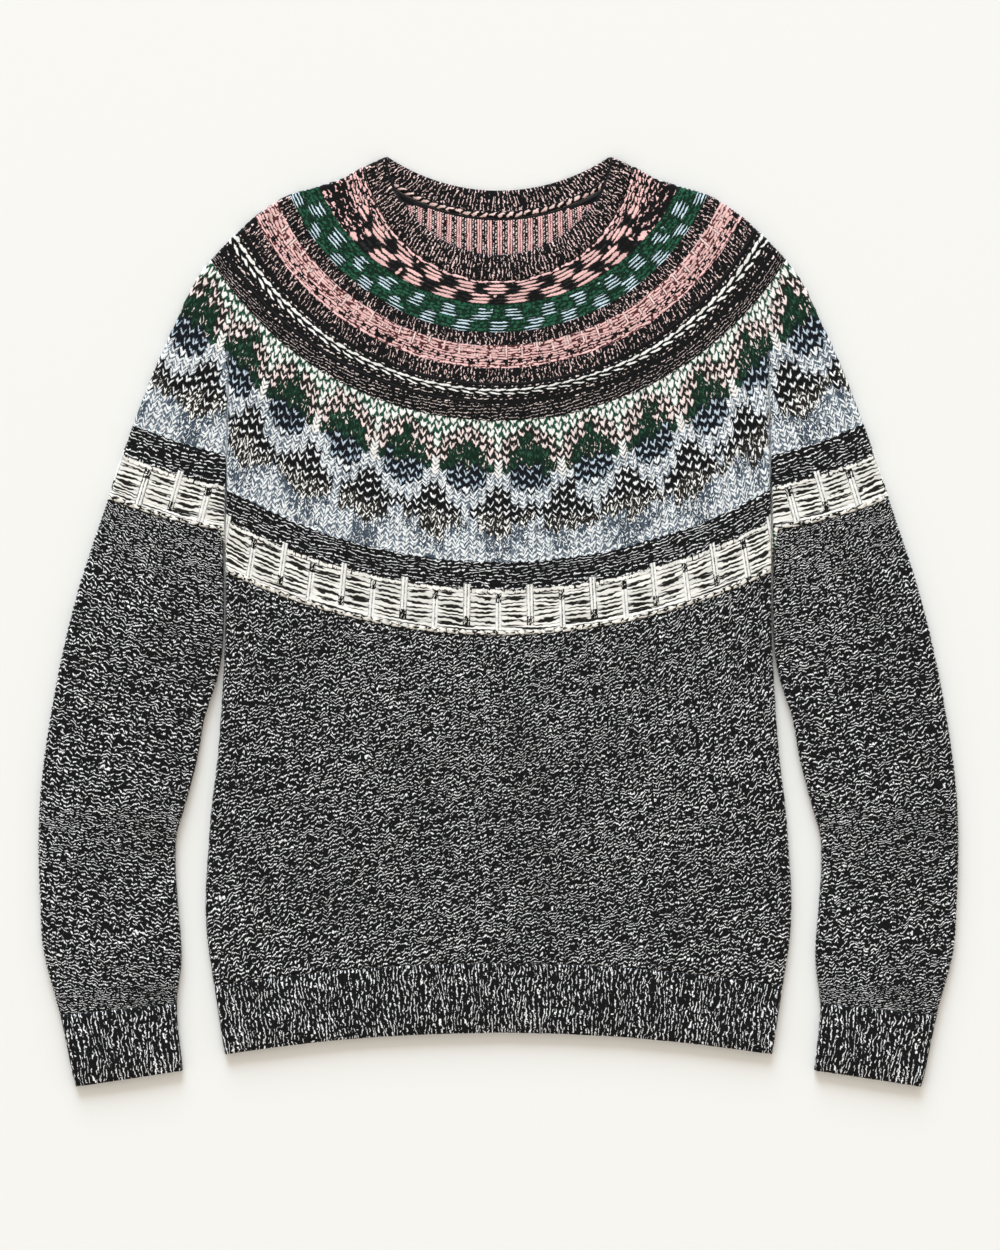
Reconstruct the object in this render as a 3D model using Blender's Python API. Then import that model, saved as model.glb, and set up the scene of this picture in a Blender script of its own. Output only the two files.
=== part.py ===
"""A long-sleeved sweater with a patterned round yoke, knitted in thick wool and laid flat, front up.

The garment lies in the XY plane: +Y runs to the neck, +X is the right of the picture and +Z is up, off the
surface that it lies on. The back panels lie flat on that surface and the front panels lie on them. Every piece
is a wall of knitting one WALL thick, worked out row by row, as it is knitted. Sizes are millimetres until
make_wall turns them into metres.
"""

import math

import bmesh
import bpy
import numpy as np

MM = 0.001
MIDDLE = (0.0, 0.6, 0.0)  # middle of the outline, which becomes the origin
LEAST_BOW = 0.01  # a row bowed less than this is straight

# Thicknesses and heights
WALL = 3.0  # one layer of the knitted cloth
SEAM = 0.3  # clear space between two pieces where they are linked
LOFT = 1.2  # how far the front panels lift off the back ones away from the edges
LOFT_REACH = 26.0  # how far in from an edge they have lifted fully
ROLL = 0.9  # extra height where the cloth folds round at a side edge
ROLL_WIDTH = 11.0
SIDE_RIM = 1.2  # upright part of each panel's edge, between its rounding and the linking seam
BACK_RADIUS = WALL - SIDE_RIM
FRONT_LOW = WALL + SEAM  # where a front panel rests at its edges
FRONT_EDGE = FRONT_LOW + SIDE_RIM
EDGE_ANGLES = np.radians((22.5, 45.0, 67.5, 90.0))

# Ribbing: one knit and one purl column make a rib
RIB_RELIEF = 0.8
HEM_RIBS = 67
CUFF_RIBS = 13
NECK_RIBS = (46, 32)  # front, back
RIB_STEPS = (0.0, 0.93, 1.0)  # rows of points down the ribbing
END_DROPS = (0.9,)  # the ribbing's last row is rounded down by this much

# Half of the outline: (y up the garment, x out from the centre line)
OUTER_EDGE = np.array(
    [
        (-357.7, 326.1),  # cuff, outer corner
        (-302.2, 337.7),
        (-252.0, 350.5),
        (-213.7, 353.1),
        (-141.0, 353.5),  # elbow, the widest place
        (-65.1, 343.8),
        (18.9, 325.4),
        (95.5, 300.5),  # sleeve joins the yoke
        (153.5, 281.0),
        (225.2, 251.4),
        (277.3, 223.3),
        (298.6, 203.0),
        (317.6, 180.6),
        (329.9, 159.0),
        (340.7, 123.6),
        (351.5, 103.6),  # neckband seam
        (359.5, 86.2),  # high point of the shoulder
    ]
)
SLEEVE_INNER_EDGE = np.array(
    [
        (-345.2, 243.4),  # cuff, inner corner
        (-293.0, 248.0),
        (-261.0, 244.6),
        (-213.7, 247.4),
        (-182.9, 249.1),
        (-163.6, 248.0),
        (-141.7, 241.8),
        (-104.3, 232.2),
        (-72.4, 226.3),
        (-45.0, 217.4),
        (-24.0, 213.3),  # top of the gap beside the body
        (-8.0, 212.2),
        (30.0, 211.8),
        (71.0, 212.9),
    ]
)
BODY_EDGE = np.array(
    [
        (-332.8, 210.9),  # hem corner
        (-280.0, 218.7),
        (-245.0, 224.0),
        (-213.7, 225.5),
        (-175.2, 223.3),
        (-140.1, 220.6),
        (-104.3, 216.2),
        (-50.0, 212.3),
        (-15.0, 210.6),
        (39.0, 210.0),
    ]
)

# Neckband: heights on the centre line, front and back, and where its two edges meet the shoulder
NECK_SEAM = (263.0, 311.5)
NECK_OPENING = (283.0, 333.0)
NECK_SEAM_TIP = 351.5
NECK_CORNER = 359.5
NECK_TOP = 7.2
NECK_FOLD_ANGLES = (60.0, 30.0, 0.0, -30.0, -60.0)
NECK_PROFILE = ((0.0, 0.4), (0.15, 0.0), (0.85, 0.0), (1.0, 0.7))  # share across, rounded down by
BACK_NECK_RAISE = NECK_SEAM[1] - NECK_SEAM[0]

# Courses of the yoke: y at the centre front, y where it meets the underarm crease on the body's side and on the
# sleeve's side, y where it meets the outer edge, and how many rows of faces reach it from the course above.
# Above the crease a course runs on in one arc, so the crease columns are unused there.
CREASE_SHARE = 0.9  # the crease starts at this share of the last course above it
YOKE_COURSES = [
    # centre, body, sleeve, edge, steps
    (263.0, None, None, 351.5, 1),  # neckband seam
    (244.9, None, None, 336.0, 1),  # black and rose checks
    (223.3, None, None, 329.2, 1),  # green and pale blue blocks
    (196.0, None, None, 312.5, 1),  # rose stripe
    (155.2, None, None, 279.3, 2),  # dark stripes with the cream chain
    (46.2, 102.8, 129.0, 152.8, 7),  # triangles and diamonds
    (26.6, 80.5, 105.0, 130.5, 2),  # dark stripe
    (-9.6, 39.0, 71.0, 95.5, 3),  # cream stripe, down to the body and the sleeves
]
CREASE_GAP = 1.6  # width of the groove that the crease's columns cross
CREASE_X = np.array([(39.0, 210.0), (80.0, 209.6), (254.0, 206.0)])  # y, x of the crease

# Rows of the body: y at the centre and at the side edge
BODY_TOP = (-9.6, 39.0)
HEM_TOP = (-262.2, -280.0)
HEM_BOTTOM = (-316.1, -332.8)

# Sleeve sections from the yoke to the cuff: y at the outer edge and at the inner edge
SLEEVE_SECTIONS = [
    (95.5, 71.0),
    (75.0, 50.0),
    (52.0, 28.0),
    (18.9, 2.0),
    (-13.5, -21.2),
    (-45.0, -50.0),
    (-75.0, -81.0),
    (-108.0, -112.0),
    (-141.0, -141.7),
    (-163.0, -162.0),
    (-190.0, -187.0),
    (-222.0, -218.0),
    (-254.0, -252.0),
    (-282.0, -278.0),
    (-302.2, -293.0),
]
CUFF_SECTIONS = [(-302.2, -293.0), (-354.5, -342.0), (-357.7, -345.2)]

# Soft folds of the front, as (x, y) to (x, y), half width and height, which is negative for a trough
FOLDS = [
    (-293.0, -152.0, -256.0, -199.0, 9.0, -1.1),  # inside the left elbow
    (-321.0, -118.0, -284.0, -139.0, 12.0, 0.8),
    (290.0, -166.0, 259.0, -205.0, 10.0, -0.8),  # inside the right elbow
    (316.0, -92.0, 262.0, -128.0, 14.0, 0.7),
    (-246.0, 30.0, -300.0, -42.0, 16.0, 0.7),  # sleeves bending away from the body
    (247.0, 22.0, 304.0, -52.0, 15.0, 0.6),
    (-150.0, -60.0, -196.0, -210.0, 26.0, 0.7),  # broad waves of the body
    (120.0, -40.0, 178.0, -232.0, 28.0, 0.6),
    (-40.0, -120.0, 26.0, -240.0, 30.0, -0.5),
]
CREASE_RIDGE = 2.7  # the body's side of the crease lies doubled over the sleeve
CREASE_RIDGE_WIDTH = 12.0
CREASE_TROUGH = 0.9
CREASE_TROUGH_WIDTH = 7.0

# Columns across half the yoke, as shares of the body's part and of the sleeve's part, beside the crease and where
# there is none. The back, which has no ridge, needs fewer.
YOKE_COLUMNS = {
    True: (
        (0, 0.14, 0.28, 0.42, 0.55, 0.67, 0.78, 0.86, 0.92, 0.96, 0.985, 0.998),
        (0.005, 0.05, 0.13, 0.27, 0.5, 0.76, 1.0),
    ),
    False: ((0, 0.12, 0.24, 0.36, 0.48, 0.6, 0.72, 0.86, 0.998), (0.005, 0.35, 0.7, 1.0)),
}
SLEEVE_BOW = 0.03  # how far a course across a sleeve sags, as a share of its length
TUBE_SLOT = 0.9
TUBE_UNDER_POINTS = 4

MARL = (0.075, 0.075, 0.08, 1.0)
ROSE_MARL = (0.16, 0.11, 0.12, 1.0)
YOKE_WOOL = (0.22, 0.26, 0.27, 1.0)


def smooth(at, table):
    """The value at `at` on a smooth curve through a table of (at, value) rows."""
    xs, ys = table[:, 0], table[:, 1]
    slopes = np.gradient(ys, xs)
    i = np.clip(np.searchsorted(xs, at) - 1, 0, len(xs) - 2)
    step = xs[i + 1] - xs[i]
    u = (at - xs[i]) / step
    from_low = ys[i] * (1 + 2 * u) * (1 - u) ** 2 + slopes[i] * step * u * (1 - u) ** 2
    from_high = ys[i + 1] * u**2 * (3 - 2 * u) - slopes[i + 1] * step * u**2 * (1 - u)
    return from_low + from_high


def blend(low, high, share):
    return low + (high - low) * share


def ease(value, start, end):
    """0 before start and 1 after end, with a soft change between them."""
    share = min(max((value - start) / (end - start), 0.0), 1.0)
    return share * share * (3 - 2 * share)


def outer_point(y):
    return np.array((smooth(y, OUTER_EDGE), y))


def fold_height(x, y):
    """The height that the soft folds add at a place on the front."""
    total = 0.0
    for x0, y0, x1, y1, width, height in FOLDS:
        along = np.array((x1 - x0, y1 - y0))
        length = float(np.hypot(*along))
        offset = np.array((x - x0, y - y0))
        run = float(offset @ along) / length**2
        away = abs(float(offset[0] * along[1] - offset[1] * along[0])) / length
        ends = ease(run, -0.25, 0.3) * (1 - ease(run, 0.7, 1.25))
        total += height * ends * math.exp(-((away / width) ** 2))
    return total


def crease_height(x, y):
    """The ridge and the trough of the crease between the body and a sleeve."""
    strength = (1 - ease(y, 150.0, 252.0)) * ease(y, -150.0, 20.0)
    offset = abs(x) - np.interp(y, CREASE_X[:, 0], CREASE_X[:, 1])
    if offset <= 0:
        return strength * CREASE_RIDGE * math.exp(-((offset / CREASE_RIDGE_WIDTH) ** 2))
    return -strength * CREASE_TROUGH * math.exp(-((offset / CREASE_TROUGH_WIDTH) ** 2))


def front_heights(x, y, inset):
    """Inner and outer height of a front panel at a place this far in from the nearest side edge."""
    low = FRONT_LOW + LOFT * ease(inset, 0.0, LOFT_REACH)
    roll = ROLL * math.exp(-((inset / ROLL_WIDTH) ** 2))
    return low, low + WALL + roll + fold_height(x, y) + crease_height(x, y)


def edge_radius(tip, front):
    """How far in from a point on the outline the rounding of a panel's side edge begins."""
    return front_heights(*tip, 0.0)[1] - FRONT_EDGE if front else BACK_RADIUS


def arc_size(centre_y, end):
    """Radius and angle of the arc that leaves the centre line at a right angle and ends at `end`."""
    rise = max(abs(end[1] - centre_y), LEAST_BOW)
    radius = (end[0] ** 2 + rise**2) / (2 * rise)
    return radius, math.atan2(end[0], radius - rise)


def arc_points(centre_y, end, shares):
    """Points at these shares of that arc, which bows up or down to its end."""
    radius, angle = arc_size(centre_y, end)
    up = math.copysign(1.0, end[1] - centre_y)
    angles = np.asarray(shares) * angle
    return np.stack([radius * np.sin(angles), centre_y + up * radius * (1 - np.cos(angles))], 1)


def arc_to_edge(centre_y, tip, shares, cut):
    """Points at these shares of the arc as far as `cut` short of its end, and then its end."""
    radius, angle = arc_size(centre_y, tip)
    shares = np.append(np.asarray(shares) * (1 - cut / (radius * angle)), 1.0)
    return arc_points(centre_y, tip, shares)


def both_sides(half):
    """A row from the left to the right edge, from its right half, which starts on the centre line."""
    return np.concatenate((half[:0:-1] * (-1, 1), half))


def sagging(start, end, share, bow):
    """The point at this share of a slightly sagging line on the right side of the garment."""
    along = end - start
    return start + along * share + np.array((along[1], -along[0])) * (4 * bow * share * (1 - share))


def even(shares):
    """As many shares with equal steps, which start at 0 where these do."""
    return np.linspace(0, 1, len(shares) + (shares[0] > 0))[-len(shares) :]


def plain_half(centre, edge, front):
    """Half a course above the crease, in one arc from the centre line to the outer edge."""
    tip = outer_point(edge)
    body, sleeve = (even(shares) for shares in YOKE_COLUMNS[front])
    shares = np.concatenate((body * CREASE_SHARE, blend(CREASE_SHARE, 1.0, sleeve)))
    return arc_to_edge(centre, tip, shares, edge_radius(tip, front))


def creased_half(centre, body_y, sleeve_y, edge, creased, front):
    """Half a course that jumps up at the crease, where cloth is folded away under the body's edge."""
    body = (np.interp(body_y, CREASE_X[:, 0], CREASE_X[:, 1]), body_y)
    sleeve = np.array((np.interp(sleeve_y, CREASE_X[:, 0], CREASE_X[:, 1]) + CREASE_GAP * creased, sleeve_y))
    tip = outer_point(edge)
    at_body, at_sleeve = (blend(even(shares), np.array(shares), creased) for shares in YOKE_COLUMNS[front])
    last = 1 - edge_radius(tip, front) / np.hypot(*(tip - sleeve))
    far = [sagging(sleeve, tip, share, SLEEVE_BOW) for share in (*(at_sleeve * last), 1.0)]
    return np.concatenate((arc_points(centre, body, at_body), far))


def yoke_rows(front):
    """Plan rows of the yoke from the neck down to the body, each from the left outer edge to the right one."""
    last_plain = max(i for i, row in enumerate(YOKE_COURSES) if row[1] is None)
    plain_centre, _, _, plain_edge, _ = YOKE_COURSES[last_plain]
    crease_top = arc_points(plain_centre, outer_point(plain_edge), [CREASE_SHARE])[0, 1]
    highest, lowest = YOKE_COURSES[0][0], YOKE_COURSES[-1][0]
    halves = []
    for number, row in enumerate(YOKE_COURSES):
        before = YOKE_COURSES[max(number - 1, 0)]
        for step in range(1, row[4] + 1):
            share = step / row[4]
            centre, edge = blend(before[0], row[0], share), blend(before[3], row[3], share)
            if not front:
                centre += BACK_NECK_RAISE * (centre - lowest) / (highest - lowest)
            if row[1] is None:
                halves.append(plain_half(centre, edge, front))
                continue
            starts = before[1] is None
            body_y = blend(crease_top if starts else before[1], row[1], share)
            sleeve_y = blend(crease_top if starts else before[2], row[2], share)
            creased = ease(share, 0.0, 0.6) if starts else 1.0
            halves.append(creased_half(centre, body_y, sleeve_y, edge, creased, front))
    return [both_sides(half) for half in halves]


def body_rows(top, bottom, steps, shares, front):
    """Plan rows of the body between two rows, given as their height at the centre and at the side edges."""
    rows = []
    for step in steps:
        centre, edge_y = blend(top[0], bottom[0], step), blend(top[1], bottom[1], step)
        tip = np.array((smooth(edge_y, BODY_EDGE), edge_y))
        rows.append(both_sides(arc_to_edge(centre, tip, shares, edge_radius(tip, front))))
    return rows


def panel_points(row, front, relief=None, drop=0.0):
    """Outer and inner points across a panel, from a plan row whose first and last points are on its side edges.

    relief gives the height of the ribs by column. drop lowers the row, where the cloth ends in a rounded edge.
    """
    left = [(row[1] + (row[0] - row[1]) * math.sin(a), row[1], a) for a in EDGE_ANGLES[::-1]]
    flat = [(place, place, 0.0) for place in row[1:-1]]
    right = [(row[-2] + (row[-1] - row[-2]) * math.sin(a), row[-2], a) for a in EDGE_ANGLES]
    outer, inner = [], []
    for number, (place, flat_place, angle) in enumerate(left + flat + right):
        inset = min(np.hypot(*(place - row[0])), np.hypot(*(place - row[-1])))
        low = front_heights(*place, inset)[0] if front else WALL
        if front:
            high = front_heights(*flat_place, inset)[1] - drop + (relief(number) if relief and not angle else 0.0)
            outer.append((*place, FRONT_EDGE + (high - FRONT_EDGE) * math.cos(angle)))
        else:
            outer.append((*place, BACK_RADIUS * (1 - math.cos(angle))))
        inner.append((*place, low))
    return outer, inner


def tube_points(near, far, side, bow, across, relief=None, drop=0.0):
    """Outer and inner points round a flattened tube, whose section lies from near to far on the right side.

    across is how many points lie on its top between the rounded edges. side is -1 for the left side's tube.
    """
    width = float(np.hypot(*(far - near)))
    starts, ends = edge_radius(near * (side, 1), True), edge_radius(far * (side, 1), True)
    top = [(starts * (1 - math.sin(a)), starts, a) for a in EDGE_ANGLES[::-1]]
    top += [(u, u, 0.0) for u in np.linspace(starts, width - ends, across)]
    top += [(width - ends * (1 - math.sin(a)), width - ends, a) for a in EDGE_ANGLES]
    under = [width - BACK_RADIUS * (1 - math.sin(a)) for a in EDGE_ANGLES[::-1]]
    under += list(np.linspace(width - BACK_RADIUS, BACK_RADIUS, TUBE_UNDER_POINTS))
    under += [BACK_RADIUS * (1 - math.sin(a)) for a in EDGE_ANGLES]

    def place(u):
        return sagging(near, far, u / width, bow) * (side, 1)

    def within(u):
        return place(WALL + u * (width - 2 * WALL) / width)

    outer, inner = [], []
    for number, (u, flat_u, angle) in enumerate(top):
        inset = min(u, width - u)
        high = front_heights(*place(flat_u), inset)[1] - drop
        high += relief(number) if relief and not angle else 0.0
        outer.append((*place(u), FRONT_EDGE + (high - FRONT_EDGE) * math.cos(angle)))
        inner.append((*within(u), max(front_heights(*place(flat_u), inset)[0], WALL + TUBE_SLOT)))
    for u in under:
        inset = min(u, width - u, BACK_RADIUS)
        outer.append((*place(u), BACK_RADIUS - math.sqrt(BACK_RADIUS**2 - (BACK_RADIUS - inset) ** 2)))
        inner.append((*within(u), WALL))
    return outer, inner


def neck_place(across, side, front, share, cut):
    """The place at this share across the neckband and this share of its half width, which ends cut short."""
    ends = []
    for centres, tip_y, lift in ((NECK_SEAM, NECK_SEAM_TIP, SEAM), (NECK_OPENING, NECK_CORNER, 0.0)):
        centre, tip = centres[0 if front else 1] + lift, outer_point(tip_y + 2 * lift)
        radius, angle = arc_size(centre, tip)
        ends.append(arc_points(centre, tip, [share * (1 - cut / (radius * angle))])[0])
    return blend(*ends, across) * (side, 1)


def neckband_rows():
    """Outer and inner points of the neckband, a ring folded flat at both shoulders. Its rows run round the neck."""
    stations = []  # side, share of the half width, angle round the fold at the shoulder, rib height
    for front, ribs in ((True, NECK_RIBS[0]), (False, NECK_RIBS[1])):
        start = -1 if front else 1
        for number, share in enumerate(np.linspace(start, -start, 2 * ribs + 1)):
            wave = rib_wave(number) if abs(share) < 1 else 0.0
            stations.append((math.copysign(1.0, share), abs(share), 90.0 if front else -90.0, wave))
        for angle in NECK_FOLD_ANGLES if front else NECK_FOLD_ANGLES[::-1]:
            stations.append((-start, 1.0, angle, 0.0))
    middle = NECK_TOP / 2
    outer, inner = [], []
    for across, sink in NECK_PROFILE:
        outer_row, inner_row = [], []
        for side, share, degrees, wave in stations:
            cosine, sine = math.cos(math.radians(degrees)), math.sin(math.radians(degrees))
            front = degrees >= 0
            outside = middle - sink + (wave if front else 0.0)
            hollow = middle - WALL + sink / 2 - (0.0 if front else wave)
            place = neck_place(across, side, front, share, middle - outside * cosine)
            outer_row.append((*place, middle + (outside if front else middle) * sine))
            place = neck_place(across, side, front, share, middle - hollow * cosine)
            inner_row.append((*place, middle + hollow * sine))
        outer.append(outer_row)
        inner.append(inner_row)
    return outer, inner


def rib_wave(number):
    return RIB_RELIEF / 2 if number % 2 else -RIB_RELIEF / 2


def wool(colour):
    """Dull knitting wool in one colour, made once for each colour."""
    name = "wool_" + "_".join(f"{round(c * 100):02d}" for c in colour[:3])
    material = bpy.data.materials.get(name)
    if material is None:
        material = bpy.data.materials.new(name)
        material.use_nodes = True
        shader = material.node_tree.nodes["Principled BSDF"]
        shader.inputs["Base Color"].default_value = colour
        shader.inputs["Roughness"].default_value = 0.95
        shader.inputs["Metallic"].default_value = 0.0
    return material


def make_wall(name, outer, inner, colour, around=False):
    """One closed piece between two grids of points with the same rows and columns, as a named object.

    With around=True the last column is followed by the first one, so the piece is a tube or a ring.
    """
    rows, columns = len(outer), len(outer[0])
    work = bmesh.new()
    grids = [[[work.verts.new((np.array(p) - MIDDLE) * MM) for p in row] for row in grid] for grid in (outer, inner)]
    spans = [(j, (j + 1) % columns) for j in range(columns if around else columns - 1)]
    for grid in grids:
        for i in range(rows - 1):
            for j, k in spans:
                work.faces.new((grid[i][j], grid[i][k], grid[i + 1][k], grid[i + 1][j]))
    shell, lining = grids
    for i in (0, rows - 1):
        for j, k in spans:
            work.faces.new((shell[i][j], shell[i][k], lining[i][k], lining[i][j]))
    for j in () if around else (0, columns - 1):
        for i in range(rows - 1):
            work.faces.new((shell[i][j], shell[i + 1][j], lining[i + 1][j], lining[i][j]))
    bmesh.ops.recalc_face_normals(work, faces=work.faces)
    if work.calc_volume(signed=True) < 0:
        bmesh.ops.reverse_faces(work, faces=work.faces)
    mesh = bpy.data.meshes.new(name)
    work.to_mesh(mesh)
    work.free()
    mesh.shade_smooth()
    mesh.set_sharp_from_angle(angle=math.radians(50))
    mesh.materials.append(wool(colour))
    bpy.context.scene.collection.objects.link(bpy.data.objects.new(name, mesh))


def make_panel(name, rows, front, colour, relief=None, drops=()):
    """A front or back panel from its plan rows. drops lowers its last rows, as its lower edge is rounded."""
    sinks = [0.0] * (len(rows) - len(drops)) + list(drops)
    grids = [panel_points(row, front, relief, sink) for row, sink in zip(rows, sinks)]
    make_wall(name, [g[0] for g in grids], [g[1] for g in grids], colour)


def make_tube(name, side, sections, bows, across, relief=None, drops=()):
    """A sleeve or a cuff, whose sections sag by the first of two bows at its top and by the second at its end."""
    sinks = [0.0] * (len(sections) - len(drops)) + list(drops)
    rings = []
    for number, (outer_y, inner_y) in enumerate(sections):
        shift = np.array((0.0, SEAM if number == 0 else 0.0))
        near = np.array((smooth(inner_y, SLEEVE_INNER_EDGE), inner_y)) - shift
        far = outer_point(outer_y) - shift
        bow = blend(*bows, number / (len(sections) - 1))
        rings.append(tube_points(near, far, side, bow, across, relief, sinks[number]))
    make_wall(name, [r[0] for r in rings], [r[1] for r in rings], MARL, around=True)


def below(row):
    """The same row one seam lower, where the next piece begins."""
    return row[0] - SEAM, row[1] - SEAM


def build():
    for side, front in (("front", True), ("back", False)):
        wide = np.linspace(0, 1, 14 if front else 9)
        ribs = np.linspace(0, 1, HEM_RIBS + 1 if front else 9)
        make_panel(f"yoke_{side}", yoke_rows(front), front, YOKE_WOOL)
        steps = np.linspace(0, 1, 12 if front else 5)
        make_panel(f"body_{side}", body_rows(below(BODY_TOP), HEM_TOP, steps, wide, front), front, MARL)
        rows = body_rows(below(HEM_TOP), HEM_BOTTOM, RIB_STEPS if front else (0.0, 1.0), ribs, front)
        make_panel(f"hem_rib_{side}", rows, front, MARL, rib_wave, END_DROPS if front else ())
    for side, word in ((-1, "left"), (1, "right")):
        make_tube(f"sleeve_{word}", side, SLEEVE_SECTIONS, (SLEEVE_BOW, 0.0), 9)
        make_tube(f"cuff_{word}", side, CUFF_SECTIONS, (0.0, 0.0), 2 * CUFF_RIBS + 1, rib_wave, END_DROPS)
    make_wall("neckband", *neckband_rows(), ROSE_MARL, around=True)


for old in list(bpy.data.objects):
    bpy.data.objects.remove(old, do_unlink=True)
build()
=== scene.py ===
# %% [markdown]
# # A patterned yoke sweater, laid flat
#
# The sweater is knitted wool: a round yoke in bands of colour, a plain body and sleeves in black and white
# marl, and ribbing at the neck, the wrists and the hem. It lies front up on a pale surface. This script
# builds the cloth stitch by stitch: every knitted loop is a small raised V in the mesh, and the wool shader
# draws its two strands.

import math

import bpy
import numpy as np
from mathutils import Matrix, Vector


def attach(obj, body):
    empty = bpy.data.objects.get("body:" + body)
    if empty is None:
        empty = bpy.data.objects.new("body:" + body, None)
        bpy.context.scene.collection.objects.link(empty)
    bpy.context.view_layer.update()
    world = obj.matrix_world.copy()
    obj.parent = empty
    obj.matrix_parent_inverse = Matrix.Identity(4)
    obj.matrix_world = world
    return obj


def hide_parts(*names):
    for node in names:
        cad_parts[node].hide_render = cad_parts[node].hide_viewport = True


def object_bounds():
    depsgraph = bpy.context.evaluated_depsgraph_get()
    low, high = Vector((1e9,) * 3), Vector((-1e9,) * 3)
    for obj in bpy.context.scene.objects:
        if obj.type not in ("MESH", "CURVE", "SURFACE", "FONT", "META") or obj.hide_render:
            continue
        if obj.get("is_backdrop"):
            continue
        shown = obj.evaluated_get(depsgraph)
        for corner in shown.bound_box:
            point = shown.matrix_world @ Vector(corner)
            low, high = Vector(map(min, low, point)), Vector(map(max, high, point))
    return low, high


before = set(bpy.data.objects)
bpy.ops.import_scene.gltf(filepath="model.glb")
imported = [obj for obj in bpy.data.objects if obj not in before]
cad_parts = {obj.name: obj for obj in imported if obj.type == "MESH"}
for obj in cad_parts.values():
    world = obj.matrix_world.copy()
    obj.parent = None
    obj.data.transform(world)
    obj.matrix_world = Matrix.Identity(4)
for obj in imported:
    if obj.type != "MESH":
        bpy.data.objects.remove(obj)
cad_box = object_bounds()
print("solids:", len(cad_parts))

# %% [markdown]
# ## Sizes
#
# All lengths are in millimetres until a mesh is made. The outline was measured on one half, since the
# sweater is laid out evenly. Back panels lie on the table, and front panels lie on them with a little loft
# between.

# %% Sizes
MM = 0.001
MIDDLE = (0.0, 0.6, 0.0)  # middle of the outline, which becomes the origin
LEAST_BOW = 0.01  # a course bowed less than this is straight

WALL = 3.0  # one layer of cloth
SEAM = 0.3  # clear space between two pieces
LOFT, LOFT_REACH = 1.2, 26.0  # how far the front lifts off the back, and how far in it has lifted fully
ROLL, ROLL_WIDTH = 0.9, 11.0  # extra height where the cloth folds round at a side edge
SIDE_RIM = 1.2  # upright part of a panel's edge
BACK_RADIUS = WALL - SIDE_RIM
FRONT_LOW = WALL + SEAM  # where the front rests at its edges
FRONT_EDGE = FRONT_LOW + SIDE_RIM
TUBE_SLOT = 0.9  # least clear space inside a tube

# %% Outline
# Half of the outline: y up the garment, x out from the centre line
OUTER_EDGE = np.array(
    [
        (-357.7, 326.1), (-302.2, 337.7), (-252.0, 350.5), (-213.7, 353.1), (-141.0, 353.5),
        (-65.1, 343.8), (18.9, 325.4), (95.5, 300.5), (153.5, 281.0), (225.2, 251.4),
        (277.3, 223.3), (298.6, 203.0), (317.6, 180.6), (329.9, 159.0), (340.7, 123.6),
        (351.5, 103.6), (359.5, 86.2),
    ]
)
SLEEVE_INNER_EDGE = np.array(
    [
        (-345.2, 243.4), (-293.0, 248.0), (-261.0, 244.6), (-213.7, 247.4), (-182.9, 249.1),
        (-163.6, 248.0), (-141.7, 241.8), (-104.3, 232.2), (-72.4, 226.3), (-45.0, 217.4),
        (-24.0, 213.3), (-8.0, 212.2), (30.0, 211.8), (71.0, 212.9),
    ]
)
BODY_EDGE = np.array(
    [
        (-332.8, 210.9), (-280.0, 218.7), (-245.0, 224.0), (-213.7, 225.5), (-175.2, 223.3),
        (-140.1, 220.6), (-104.3, 216.2), (-50.0, 212.3), (-15.0, 210.6), (39.0, 210.0),
    ]
)

print("widest points:", 2 * OUTER_EDGE[:, 1].max(), "mm apart")

# %% Crease and folds
# The underarm crease, where the body's edge lies over the sleeve
CREASE_X = np.array([(39.0, 210.0), (80.0, 209.6), (254.0, 206.0)])  # y and x
CREASE_TOP, CREASE_FOOT = (150.0, 252.0), (-150.0, 20.0)  # y over which it fades out above and below
CREASE_SHARE = 0.9  # how far out it begins, along the line above the diamonds
CREASE_SETTLES = 0.6  # share of the diamonds' band by which it is complete
CREASE_GAP = 1.6  # from the body's edge to where the sleeve comes up
CREASE_CLOTH = 11.0  # cloth hidden in it at the underarm
LEAST_HIDDEN = 0.01
CREASE_RIDGE, CREASE_RIDGE_WIDTH = 2.7, 12.0
CREASE_TROUGH, CREASE_TROUGH_WIDTH = 0.9, 7.0
CREASE_DIP = 1.4  # how deep the hidden cloth goes
CREASE_ROUNDING = 3.0  # how far in the body's edge is rounded
SLEEVE_BOW = 0.03  # sag of a course across a sleeve, as a share of its width

# Soft folds: (x, y) to (x, y), half width and height, which is negative for a trough
FOLD_RISES, FOLD_FALLS = (-0.25, 0.3), (0.7, 1.25)  # shares of a fold's length over which it comes and goes
FOLDS = [
    (-293.0, -152.0, -256.0, -199.0, 9.0, -1.1),
    (-321.0, -118.0, -284.0, -139.0, 12.0, 0.8),
    (290.0, -166.0, 259.0, -205.0, 10.0, -0.8),
    (316.0, -92.0, 262.0, -128.0, 14.0, 0.7),
    (-246.0, 30.0, -300.0, -42.0, 16.0, 0.7),
    (247.0, 22.0, 304.0, -52.0, 15.0, 0.6),
    (-150.0, -60.0, -196.0, -210.0, 26.0, 0.7),
    (120.0, -40.0, 178.0, -232.0, 28.0, 0.6),
    (-40.0, -120.0, 26.0, -240.0, 30.0, -0.5),
]

print("soft folds:", len(FOLDS))

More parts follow.
